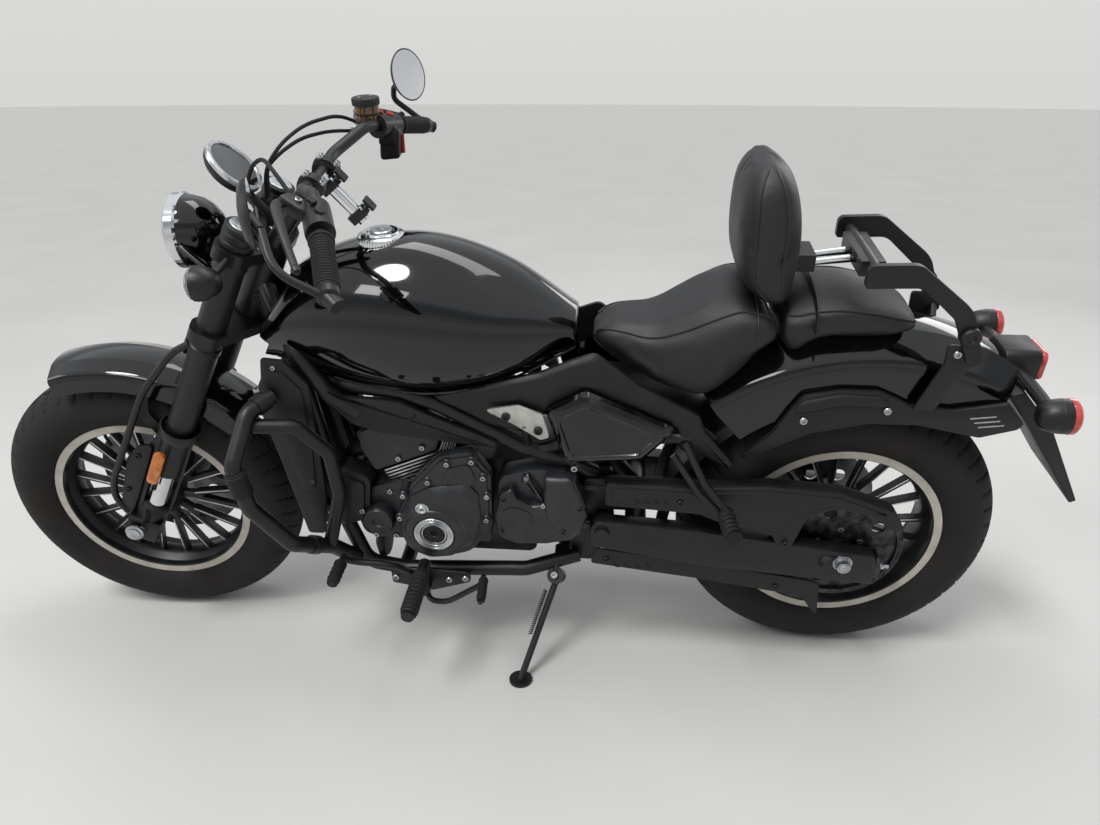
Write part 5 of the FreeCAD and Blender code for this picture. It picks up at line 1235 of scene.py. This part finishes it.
fork = dict(
    legAt=(39, 105, 0), corner=0.72,
    guardRows=[(316, 2, 26, 16), (322, -8, 34, 25), (340, -20, 41, 31), (385, -30, 46, 34), (430, -33, 47, 34),
               (500, -33, 47, 34), (556, -33, 47, 34), (590, -33, 38, 34), (622, -34, 35, 34), (629, -33, 33, 32)],
    bore=[(27.4, 390), (27.4, 700)], window=((-15, 396), (24, 466)),
    lip=[(27.6, 604), (35.4, 604), (38, 610), (40, 622), (39, 630), (36.5, 630), (35, 622), (27.6, 618)],
    blade=[(38, 560, 14), (66, 546, 20), (80, 502, 20), (68, 378, 20), (48, 346, 12), (38, 352, 10)],
    loop=[(26, 9, 836), (52, 15, 803), (82, 15, 686), (87, 15, 557), (93, 12, 435), (82, 6, 381), (50, 4, 352)],
    innerTube=[(18.7, 388), (18.7, 500)], seal=[(18.8, 388), (26, 389), (26, 404), (23, 407), (18.8, 407)],
    cap=[(27.5, 1064), (30, 1066), (30, 1074), (27, 1076), (27, 1080), (30, 1082), (30, 1090), (27, 1092),
         (27, 1095), (29, 1097), (29, 1103), (26, 1105), (0, 1105)],
    capTop=[(22, 1104), (22, 1106), (20, 1107.4), (9, 1107.4), (8, 1105.6), (0, 1105.6)], collars=(828, 1020),
    reflector=((2, 492), (26, 578)), axleCap=[(19, 138), (19, 142), (15, 145), (15, 148), (0, 148)])


def onLeg(points):
    return [Vector(fork["legAt"]) + Vector(point) for point in points]


def forkGuards():
    x, y, base = fork["legAt"]
    turns = [2 * math.pi * k / 64 for k in range(64)]
    rings = [[Vector((x + (rear + front) / 2 + (front - rear) / 2 * rounder(math.cos(a), fork["corner"]),
                      y + half * rounder(math.sin(a), fork["corner"]), z)) for a in turns]
             for z, rear, front, half in fork["guardRows"]]
    body = piece("forkGuards", both([shell(rings)]), "steering", "satin", smooth=34,
                 hides=["fork_guards"])
    (left, low), (right, high) = fork["window"]
    cutters = []
    for side in (1, -1):
        bore = lathe(fork["bore"], (x, side * y, 0), (0, 0, 1), 64)
        window = plate(oblong((x + left, low), (x + right, high), 9), side * (y + 12), side * (y + 60), 0.5)
        cutters += [cutterObject("guardBore", bore, onFork), cutterObject("guardWindow", window, onFork)]
    cutAway(body, cutters)
    body.data.set_sharp_from_angle(angle=math.radians(34))


def forkPieces():
    legAt, up = fork["legAt"], (0, 0, 1)
    x, y, base = legAt
    blade = [(x + along, z, radius) for along, z, radius in fork["blade"]]
    stays = [lathe(fork["lip"], legAt, up, 64, loop=True), plate(blade, y, y + 8, 2),
             tube(onLeg(fork["loop"]), 7, bend=30, sides=16)]
    piece("guardStays", both(stays), "steering", "satin", smooth=34)
    screws("forkBolts", [(x + 60, y + 8, z) for z in (520, 420)], body="steering", height=4, finish="plastic",
           mirrored=True)
    screws("forkFootBolts", [(x + 8, y + 25, 340)], body="steering", mirrored=True)
    piece("innerTubes", both([lathe(fork["innerTube"], legAt, up)]), "steering", "chrome")
    piece("forkSeals", both([lathe(fork["seal"], legAt, up, loop=True)]), "steering", "rubber")
    piece("forkCaps", both([lathe(fork["cap"], legAt, up, 64)]), "steering", "plastic", smooth=30)
    piece("forkCapTops", both([lathe(fork["capTop"], legAt, up, 64)]), "steering", "machined", smooth=30)
    collars = [lathe([(27.2, z), (29.5, z + 2), (29.5, z + 14), (27.2, z + 16)], legAt, up, loop=True)
               for z in fork["collars"]]
    piece("forkCollars", both(collars), "steering", "satin")
    (left, low), (right, high) = fork["reflector"]
    lens = plate(oblong((x + left, low), (x + right, high), 12), y + 32, y + 43, 4)
    piece("amberReflectors", both([lens]), "steering", "amber", smooth=30, hides=["reflectors"])
    piece("frontAxleCaps", both([lathe(fork["axleCap"], frontAxle)]), "steering", "zinc", smooth=30)
    bracket = bar([(x + 30, y - 34, 560), (x + 80, 78, 600), (x + 90, 74, 640)], 22, 5, (0, 1, 0.2), 1, 14)
    piece("fenderBrackets", both([bracket]), "steering", "satin")


# Headlamp, indicators and instrument. The headlamp's place and the point where the steering axis meets the floor
# are on the upright bike; droop tips its beam down.

headlamp = dict(
    place=(1246, 0, 943), steeringFoot=(1589.6, 0, 0), droop=0.03,
    bowl=[(0, -62), (16, -61), (32, -55), (47, -43), (58, -28), (64, -10), (66, 2)],
    bezel=[(63, 4), (66.5, 2), (70, 6), (70, 20), (66, 25), (62.5, 24), (62, 10)],
    glass=[(63, 20), (50, 25), (30, 26.5), (0, 27), (0, 25), (30, 24.5), (50, 23), (63, 18)],
    reflector=[(62, 12), (44, 4), (20, -6), (12, -8), (12, 6), (0, 8)])
indicator = dict(
    place=(52, 198, 1026), axis=(0.9, 0, -0.45), stalk=[(40, 138, 1050), (46, 180, 1030)],
    cup=[(0, -30), (12, -28), (21, -21), (27, -8), (30, 6), (30, 13), (28, 14)],
    lens=[(28, 13), (28, 17), (22, 23), (10, 25.6), (0, 26)])
dial = dict(
    place=(104, 0, 1142), axis=(-0.35, 0, 1), arm=[(10, 0, 1060), (20, 0, 1090), (70, 0, 1112), (96, 0, 1122)],
    case=[(0, -22), (30, -22), (44, -15), (51, -7), (54, 0), (54, 5)],
    bezel=[(54.3, 3), (54.3, 9), (52.5, 11), (47, 11), (46, 8), (46, 4)],
    glass=[(47, 5), (47, 8), (30, 8.6), (0, 8.8)])


def headlampPieces():
    turn, droop = math.radians(bikeSizes["rake"]), headlamp["droop"]
    cos, sin = math.cos(turn), math.sin(turn)
    apart = Vector(headlamp["place"]) - Vector(headlamp["steeringFoot"])
    centre = Vector((apart.x * cos + apart.z * sin, 0, apart.z * cos - apart.x * sin))
    ahead = Vector((cos - droop * sin, 0, -sin - droop * cos))
    mounts = [tube([(centre.x - 44, 40, centre.z + 6), (57, 86, 1010)], 7),
              bar([(centre.x - 6, 64, centre.z), (70, 82, 985), (52, 92, 980)], 26, 6, (0, 0, 1), 1.5, 20)]
    piece("headlampBowl", [lathe(headlamp["bowl"], centre, ahead, 96)] + both(mounts), "steering", "gloss",
          smooth=60, hides=["headlight"])
    piece("headlampBezel", [lathe(headlamp["bezel"], centre, ahead, 96, loop=True)], "steering", "chrome")
    piece("headlampReflector", [lathe(headlamp["reflector"], centre, ahead, 64)], "steering", "chrome")
    piece("headlampGlass", [lathe(headlamp["glass"], centre, ahead, 96)], "steering", "clear")


def indicatorPieces():
    place, axis = indicator["place"], indicator["axis"]
    cups = [lathe(indicator["cup"], place, axis, 64), tube(indicator["stalk"], 6)]
    piece("frontLampCups", both(cups), "steering", "satin", smooth=50, hides=["front_indicators"])
    lens = lathe(indicator["lens"], place, axis, 64)
    piece("frontLampLenses", both([lens]), "steering", "clear", smooth=50)


def dialPieces():
    place, axis = dial["place"], dial["axis"]
    case = [lathe(dial["case"], place, axis, 96), tube(dial["arm"], 8, bend=16)]
    piece("dialCase", case, "steering", "plastic", smooth=50, hides=["instrument"])
    piece("dialBezel", [lathe(dial["bezel"], place, axis, 96, loop=True)], "steering", "machined")
    piece("dialGlass", [lathe(dial["glass"], place, axis, 64)], "steering", "glass")


forkGuards()
forkPieces()
headlampPieces()
indicatorPieces()
dialPieces()
print("fork ready")


# Handlebar: grips, mirrors, hand controls, hoses and clamps

grip = dict(start=(-104, 290, 1246), end=(-154, 415, 1233), length=115, radius=17.5, ribs=17, ribPitch=6,
            weight=[(11, 113), (16.4, 115), (16.4, 128), (13, 131), (0, 131)])


def grips():
    start, end = Vector(grip["start"]), Vector(grip["end"])
    along = (end - start).normalized()
    first, radius, length = start + along * 14, grip["radius"], grip["length"]
    profile = [(11.3, 0), (19.5, 0.5), (19.5, 5), (radius - 1, 7)]
    for at in (8 + k * grip["ribPitch"] for k in range(grip["ribs"])):
        profile += [(radius - 1.4, at), (radius + 0.2, at + 1), (radius + 0.2, at + 4.2), (radius - 1.4, at + 5.2)]
    profile += [(radius, length - 3), (radius - 1, length), (11.3, length)]
    form = lathe(profile, first, along, loop=True)
    piece("ribbedGrips", both([form]), "steering", "rubber", smooth=30, hides=["grips"])
    piece("barEnds", both([lathe(grip["weight"], first, along, 32)]), "steering", "satin", smooth=30)


mirrorSizes = dict(
    shell=[(0, 18), (18, 17.5), (36, 14), (48, 7), (52, 1), (51, -0.4), (49, 1)],
    glass=[(0, 1.2), (49, 1.2), (49, 0.4), (0, 0.4)], socket=[(-150, 416, 1233), (-172, 432, 1232)],
    left=dict(place=(-16, 340, 1258), axis=(0.85, 0.3, -0.42), neck=[(-40, 380, 1262), (-10, 340, 1256)],
              arm=[(-162, 424, 1233), (-78, 424, 1236), (-40, 380, 1262)]),
    right=dict(place=(-85, -402, 1318), axis=(0.65, -0.46, -0.61),
               arm=[(-162, -424, 1233), (-72, -426, 1249), (-64, -424, 1272)]))


def mirrorPieces():
    left, right = mirrorSizes["left"], mirrorSizes["right"]
    middle = Vector(right["place"]) + Vector(right["axis"]) * 12
    sockets = [tube([(x, y * side, z) for x, y, z in mirrorSizes["socket"]], 12) for side in (1, -1)]
    heads = [lathe(mirrorSizes["shell"], side["place"], side["axis"], 64) for side in (left, right)]
    forms = [tube(left["arm"], 6, bend=40), tube(left["neck"], 6), sockets[0], heads[0],
             tube(right["arm"], 6, bend=20), tube([right["arm"][-1], middle], 5.5), sockets[1], heads[1]]
    piece("mirrorShells", forms, "steering", "satin", smooth=50, hides=["mirrors"])
    glass = [lathe(mirrorSizes["glass"], side["place"], side["axis"], 64) for side in (left, right)]
    piece("mirrorGlass", glass, "steering", "mirror")


lever = dict(
    path=[(-40, 236, 1246), (-26, 262, 1247), (-44, 300, 1246), (-72, 350, 1242), (-100, 392, 1236)],
    section=((-1, -0.6), (0, -1), (1, -0.6), (1, 0.6), (0, 1), (-1, 0.6)), width=8, taper=3, thickness=4.2,
    tip=[(0, -8), (5, -6.5), (7.5, 0), (5, 6.5), (0, 8)],
    perch=[(-90, 228, 6), (-34, 224, 10), (-24, 250, 10), (-60, 262, 8), (-96, 258, 8)],
    box=[(-78, 226, 1248), (-82, 236, 1248), (-101, 282, 1246), (-104, 288, 1246)],
    switchBox=[(-80, 1243, 8), (-118, 1256, 8), (-140, 1202, 8), (-106, 1180, 8)],
    switchLid=[(-78, 1250, 6), (-110, 1260, 6), (-126, 1222, 6), (-92, 1210, 6)],
    buttons=[([(-80, 244, 3), (-66, 240, 3), (-62, 252, 3), (-76, 257, 3)], 1273),
             ([(-98, 262, 4), (-84, 258, 4), (-80, 270, 4), (-94, 275, 4)], 1272)],
    rocker=[(-124, -268, 1242), (-140, -268, 1209)])


def handControls():
    width, taper, thickness = lever["width"], lever["taper"], lever["thickness"]
    blade = sweep(rounded(lever["path"], 30), lambda share: [(u * (width - taper * share), v * thickness)
                                                             for u, v in lever["section"]], (0, 0.1, 1))
    shape = [blade, lathe(lever["tip"], (-101, 394, 1236), (-0.5, 0.8, 0), 24),
             plate(lever["perch"], 1236, 1257, 4, "top"), tube(lever["box"], 22.5, bend=4, sides=24)]
    piece("leftLever", shape, "steering", "satin", smooth=40, hides=["left_controls"])
    switch = [plate(lever["switchBox"], -288, -244, 4), plate(lever["switchLid"], -291, -240, 3)]
    piece("rightLever", flipped(shape) + switch, "steering", "satin", smooth=40,
          hides=["right_controls"])
    bolts = [screw((-52, 242, 1257), (0, 0, 1), 6, 4), screw((-76, 232, 1257), (0, 0, 1), 5, 4)]
    piece("perchScrews", both(bolts), "steering", "zinc", smooth=30)
    buttons = [plate(outline, 1266, top, 2, "top") for outline, top in lever["buttons"]]
    piece("leftSwitches", buttons, "steering", "plastic")
    piece("rightSwitches", flipped(buttons), "steering", "redPlastic")
    rocker = tube(lever["rocker"], lambda share: 9 if 0.1 < share < 0.9 else 5, bend=1, sides=20)
    piece("redRocker", [rocker], "steering", "redPlastic", smooth=50)


# Profiles are (radius, height) along the reservoir
reservoir = dict(
    foot=(-58, -234, 1247), up=(0.468, -0.03, 0.883), window=[(20, 0), (24, 2), (24, 32), (22, 34)],
    base=[(22, -6), (25, -4), (25, 3), (23.5, 4)], level=[(24.4, 14), (24.8, 15), (24.8, 17), (24.4, 18)],
    lid=((24, 31), (27, 32), (27, 43), (26, 45), (5, 45.5)), knurls=60, screwsAt=(13, -13))


def brakeReservoir():
    foot, up = Vector(reservoir["foot"]), Vector(reservoir["up"])
    piece("brakeReservoir", [lathe(reservoir["window"], foot, up)], "steering", "fluid", smooth=30)
    side, count = up.orthogonal().normalized(), reservoir["knurls"]
    over = up.cross(side)
    ways = [side * math.cos(a) + over * math.sin(a) for a in (2 * math.pi * k / count for k in range(count))]
    lid = [[foot + up * height + way * (radius - (k % 2) * (radius > 25)) for k, way in enumerate(ways)]
           for radius, height in reservoir["lid"]]
    forms = [lathe(reservoir["base"], foot, up), lathe(reservoir["level"], foot, up, loop=True),
             tube([Vector((-78, -236, 1236)), foot - up * 4], 9, bend=1, sides=16), shell(lid)]
    piece("reservoirCap", forms, "steering", "plastic", smooth=30)
    spots = [foot + up * 45 + side * reach for reach in reservoir["screwsAt"]]
    screws("reservoirScrews", spots, body="steering", axis=up, radius=4, height=3)


# Brake and clutch hoses and the wiring, about 300, 280 and 305 mm long, from the hand controls to the clips
hoses = dict(
    radius=3.5, bend=60, clip=((36, -74), (54, -42)),
    runs=[[(-46, -214, 1243), (-7, -180, 1250), (35, -120, 1226), (52, -60, 1196), (60, -40, 1150), (44, -52, 1090)],
          [(-46, -214, 1226), (-3, -180, 1214), (32, -120, 1200), (48, -66, 1180), (60, -50, 1150), (44, -62, 1090)],
          [(-46, 214, 1240), (0, 180, 1252), (40, 110, 1236), (62, 60, 1190), (62, 52, 1140), (46, 60, 1090)]],
    ends=[(0.7, 0.6, 0.1), (0.7, 0.6, 0), (0.7, -0.6, 0.1)])


def barHoses():
    forms = [tube(run, hoses["radius"], bend=hoses["bend"], sides=12, steps=8) for run in hoses["runs"]]
    clip = plate(oblong(*hoses["clip"], 4), 1064, 1092, 3, "top")
    piece("barHoses", forms + both([clip]), "steering", "rubber", smooth=50)
    ends = [lathe([(4.8, 0), (4.8, 12)], run[0], way, 16) for run, way in zip(hoses["runs"], hoses["ends"])]
    piece("hoseFerrules", ends, "steering", "zinc")


clamps = dict(
    foot=[(-60, 1190, 6), (-60, 1214, 10), (-14, 1214, 10), (-14, 1190, 6)], riser=[(-8, 48, 1064), (-34, 48, 1194)],
    barTop=(-40, 0, 1200), barLow=(-136, 0, 1160), barRadius=11.5, jaws=(0.2, 0.86),
    stemNut=[(17, 1064), (17, 1071), (15, 1074), (9, 1074), (8, 1071), (0, 1071)])


def barHardware():
    forms = [plate(clamps["foot"], 35, 61, 4), tube(clamps["riser"], lambda share: 16 - 2 * share, bend=4, sides=32)]
    piece("barClamps", both(forms), "steering", "satin", smooth=34)
    spots = [(x, y, 1213) for x in (-52, -22) for y in (42, 54)]
    screws("clampScrews", spots, body="steering", axis=(0, 0, 1), radius=5.5, mirrored=True)
    top, low = Vector(clamps["barTop"]), Vector(clamps["barLow"])
    piece("accessoryChrome", [tube([top, low], clamps["barRadius"], bend=1, sides=32)], "steering", "chrome",
          smooth=50, hides=["accessory_bar"])
    along, aside = (low - top).normalized(), Vector((0, -14, 0))
    over = Vector((-along.z, 0, along.x))
    jaws, bolts = [], []
    for at in (top.lerp(low, share) for share in clamps["jaws"]):
        jaws += [bar([at - along * 9, at + along * 9], 34, 30, (0, 1, 0), 4, 1),
                 bar([at + aside - over * 22, at + aside - over * 27], 26, 24, (0, 1, 0), 2, 1),
                 tube([at - over * 12, at + Vector((0, -12, 0)) - over * 24], 5, bend=1, sides=16)]
        bolts += [at - over * 16 + Vector((0, y, 0)) - along * 6 for y in (-12, 12)]
    piece("accessoryClamps", jaws, "steering", "satin", smooth=34)
    screws("accessoryScrews", bolts, body="steering", axis=-over, radius=3.4, height=3)
    piece("stemNut", [lathe(clamps["stemNut"], (0, 0, 0), (0, 0, 1))], "steering", "machined", smooth=30)


grips()
mirrorPieces()
handControls()
brakeReservoir()
barHoses()
barHardware()
print("handlebar ready")


# Foot controls and the stand's spring; tubes are (points, radius, bend)

feet = dict(
    pegStart=(845, 180, 285), pegEnd=(845, 318, 292), pegAt=(845, 182, 285), pegRibs=9,
    plate=[(925, 250, 8), (925, 214, 8), (838, 196, 12), (755, 225, 10), (755, 252, 10), (847, 258, 10)],
    tubes=[([(845, 184, 222), (845, 184, 288)], 9, 30), ([(845, 160, 284), (845, 318, 292)], 13, 1),
           ([(880, 146, 240), (905, 180, 294), (980, 188, 305), (998, 206, 328), (998, 214, 333)], 7, 30),
           ([(850, 146, 222), (838, 194, 212), (798, 198, 212), (722, 200, 270), (716, 204, 292)], 6, 30),
           ([(716, 196, 291), (710, 276, 298)], 5, 1), ([(998, 200, 332), (993, 290, 343)], 6, 1),
           ([(845, 184, 226), (845, 150, 226)], 9, 30)],
    hub=[(14, 142), (14, 156), (11, 159), (0, 159)], hubAt=(870, 0, 236),
    bolts=[(915, 150, 232), (765, 150, 238), (800, 150, 232)])
stand = dict(footAt=(642, 263), springFrom=0.16, springReach=0.42, coils=22, coilSteps=10, coilRadius=4, wire=1.1,
             offset=15)


# A rubber with ribs along it, its two ends given
def ribbed(first, crest, trough, start, pitch, count, last):
    return first + [(crest - (k % 2) * trough, start + pitch * k) for k in range(count)] + last


def footPieces():
    ribs = [(14, 8), (14.6, 10)]
    for at in (20 + k * 11.5 for k in range(feet["pegRibs"])):
        ribs += [(16, at), (18, at + 2), (18, at + 7), (16, at + 9)]
    ribs += [(16, 127), (14, 130), (0, 130)]
    along = (Vector(feet["pegEnd"]) - Vector(feet["pegStart"])).normalized()
    piece("pegRubbers", both([lathe(ribs, feet["pegAt"], along, 32)]), "frame", "rubber", smooth=30)
    pedals = [tube(points, radius, bend=bend) for points, radius, bend in feet["tubes"]]
    pedals += [plate(feet["plate"], 142, 150, 2), lathe(feet["hub"], feet["hubAt"], steps=32)]
    piece("leftPedals", pedals, "frame", "satin", smooth=50, hides=["left_foot_controls"])
    screws("pedalBolts", feet["bolts"], radius=7)
    toe = ribbed([(10, 0), (13, 2)], 13, 1.6, 8, 7, 8, [(11, 62), (0, 63)])
    heel = [(radius * 0.75, height) for radius, height in toe]
    rubbers = flipped([lathe(toe, (985, 226, 353), (0, 1, 0.06), 32)])
    rubbers += [lathe(toe, (997, 226, 335), (-0.05, 1, 0.12), 32), lathe(heel, (714, 208, 293), (-0.07, 1, 0.08), 32)]
    piece("toeRubbers", rubbers, "frame", "rubber", smooth=30)
    rear = ribbed([(15, 0), (17, 3)], 17, 2, 10, 6, 10, [(14, 70), (0, 72)])
    rear = lathe(rear, (246, 178, 462), (-0.1, 1, 0.05), 32)
    piece("pillionPegRubbers", both([rear]), "frame", "rubber", smooth=30)


def standPieces():
    toBike = onBike.inverted()
    foot = onBike @ Vector((*stand["footAt"], 0))
    foot.z = 0
    pivot = toBike @ Vector(joints["stand_swing"]["pos_m"])
    leg = toBike @ foot - pivot
    side = leg.cross(Vector((0, 1, 0))).normalized()
    over = leg.normalized().cross(side)
    steps = stand["coils"] * stand["coilSteps"]
    spring = []
    for k in range(steps + 1):
        a = 2 * math.pi * k / stand["coilSteps"]
        share = stand["springFrom"] + stand["springReach"] * k / steps
        coil = (side * math.cos(a) + over * math.sin(a)) * stand["coilRadius"]
        spring.append(pivot + leg * share + side * stand["offset"] + coil)
    piece("standSpring", [tube(spring, stand["wire"], bend=1, sides=6, steps=1)], "stand", "darkSteel")
    bolt = toBike.to_3x3() @ Vector(joints["stand_swing"]["axis"])
    piece("standBolt", [hexNut(pivot + bolt.normalized() * 21, bolt, 8, 7)], "frame", "zinc", smooth=30)


footPieces()
standPieces()


# Floor, light and camera

cameraView = dict(place=(461.6, 1641.0, 1176.2), yaw=-4.93, pitch=22.01, roll=0.14, focal=815.34, width=1100,
                  sensor=36)
# Each lamp: name, place, what it looks at, width, height, power
studioLight = dict(
    floor=50, sun=1.8, sunAngle=18, sunFrom=(0.35, 0.5, 1.0), skyStrength=0.62,
    lamps=[("key", (1.4, 2.4, 2.9), (0, 0, 0.5), 1.5, 0.6, 22), ("top", (-0.2, -0.3, 3.4), (0, 0, 0.5), 2.6, 0.7, 24),
           ("rim", (-2.4, -2.6, 2.2), (0, 0, 0.6), 1.8, 0.8, 16),
           ("front", (3.2, 0.6, 1.6), (0.4, 0, 0.6), 0.8, 1.4, 9)],
    sky=[(0.0, "#b4b4b3"), (0.1, "#cfd0d1"), (0.5, "#dfe2e5"), (1.0, "#eef1f4")],
    wall=[(0.0, "#d6d6d4"), (0.14, "#dededd"), (0.38, "#a2a6aa"), (0.48, "#adb1b5"), (0.56, "#eceff2"),
          (1.0, "#f6f8fa")])


def photoCamera():
    yaw, pitch, roll = (math.radians(cameraView[k]) for k in ("yaw", "pitch", "roll"))
    ahead = Vector((-math.sin(yaw) * math.cos(pitch), -math.cos(yaw) * math.cos(pitch), -math.sin(pitch)))
    right = Vector((-math.cos(yaw), math.sin(yaw), 0))
    up = right.cross(ahead)
    turnedRight = right * math.cos(roll) + up * math.sin(roll)
    turnedUp = up * math.cos(roll) - right * math.sin(roll)
    data = bpy.data.cameras.new("camera")
    data.sensor_width = cameraView["sensor"]
    data.lens = cameraView["focal"] / cameraView["width"] * cameraView["sensor"]
    data.clip_start, data.clip_end = 0.05, 120
    camera = linked("camera", data)
    matrix = Matrix((turnedRight, turnedUp, -ahead)).transposed().to_4x4()
    matrix.translation = onBike.translation + Vector(cameraView["place"]) * 0.001
    camera.matrix_world = matrix
    bpy.context.scene.camera = camera


def paleFloor():
    mesh = bpy.data.meshes.new("floor")
    turns = [2 * math.pi * k / 96 for k in range(96)]
    rim = [(studioLight["floor"] * math.cos(a), studioLight["floor"] * math.sin(a), 0) for a in turns]
    mesh.from_pydata(rim, [], [tuple(range(96))])
    floor = linked("floor", mesh)
    mesh.materials.append(grained("paleFloor", "#c6c5c2", "#cbcac7", (0.75, 0.9), 1.5, 60, 0.05, 0.0005, shine=0.2))


# The sky lights the object; a pale wall is what the camera, gloss and glass see in its place
def studioWorld():
    world = bpy.data.worlds.new("studio")
    bpy.context.scene.world = world
    world.use_nodes = True
    tree = world.node_tree
    tree.nodes.clear()
    coords = addNode(tree, "ShaderNodeTexCoord").outputs["Generated"]
    height = addNode(tree, "ShaderNodeSeparateXYZ", {"Vector": coords}).outputs["Z"]
    sky, wall = ramp(tree, height, studioLight["sky"]), ramp(tree, height, studioLight["wall"])
    light = addNode(tree, "ShaderNodeBackground", {"Color": sky, "Strength": studioLight["skyStrength"]})
    seen = addNode(tree, "ShaderNodeBackground", {"Color": wall, "Strength": 1.0})
    path = addNode(tree, "ShaderNodeLightPath")
    mirrored = addNode(tree, "ShaderNodeMath", {0: path.outputs["Is Camera Ray"], 1: path.outputs["Is Glossy Ray"]},
                       operation="MAXIMUM")
    shown = addNode(tree, "ShaderNodeMath", {0: mirrored.outputs[0], 1: path.outputs["Is Transmission Ray"]},
                    operation="MAXIMUM")
    mixed = addNode(tree, "ShaderNodeMixShader", {"Fac": shown.outputs[0], 1: light.outputs[0], 2: seen.outputs[0]})
    addNode(tree, "ShaderNodeOutputWorld", {"Surface": mixed.outputs[0]})


def aimed(name, data, direction):
    item = linked(name, data)
    item.rotation_euler = direction.to_track_quat("-Z", "Y").to_euler()
    return item


def studioLamps():
    sun = bpy.data.lights.new("sun", "SUN")
    sun.energy, sun.angle = studioLight["sun"], math.radians(studioLight["sunAngle"])
    aimed("sun", sun, -Vector(studioLight["sunFrom"]))
    for name, at, target, wide, tall, power in studioLight["lamps"]:
        lamp = bpy.data.lights.new(name, "AREA")
        lamp.shape, lamp.size, lamp.size_y, lamp.energy = "RECTANGLE", wide, tall, power
        aimed(name, lamp, Vector(target) - Vector(at)).location = at


bpy.context.scene.view_settings.view_transform = "Standard"
photoCamera()
paleFloor()
studioWorld()
studioLamps()
print("studio ready")
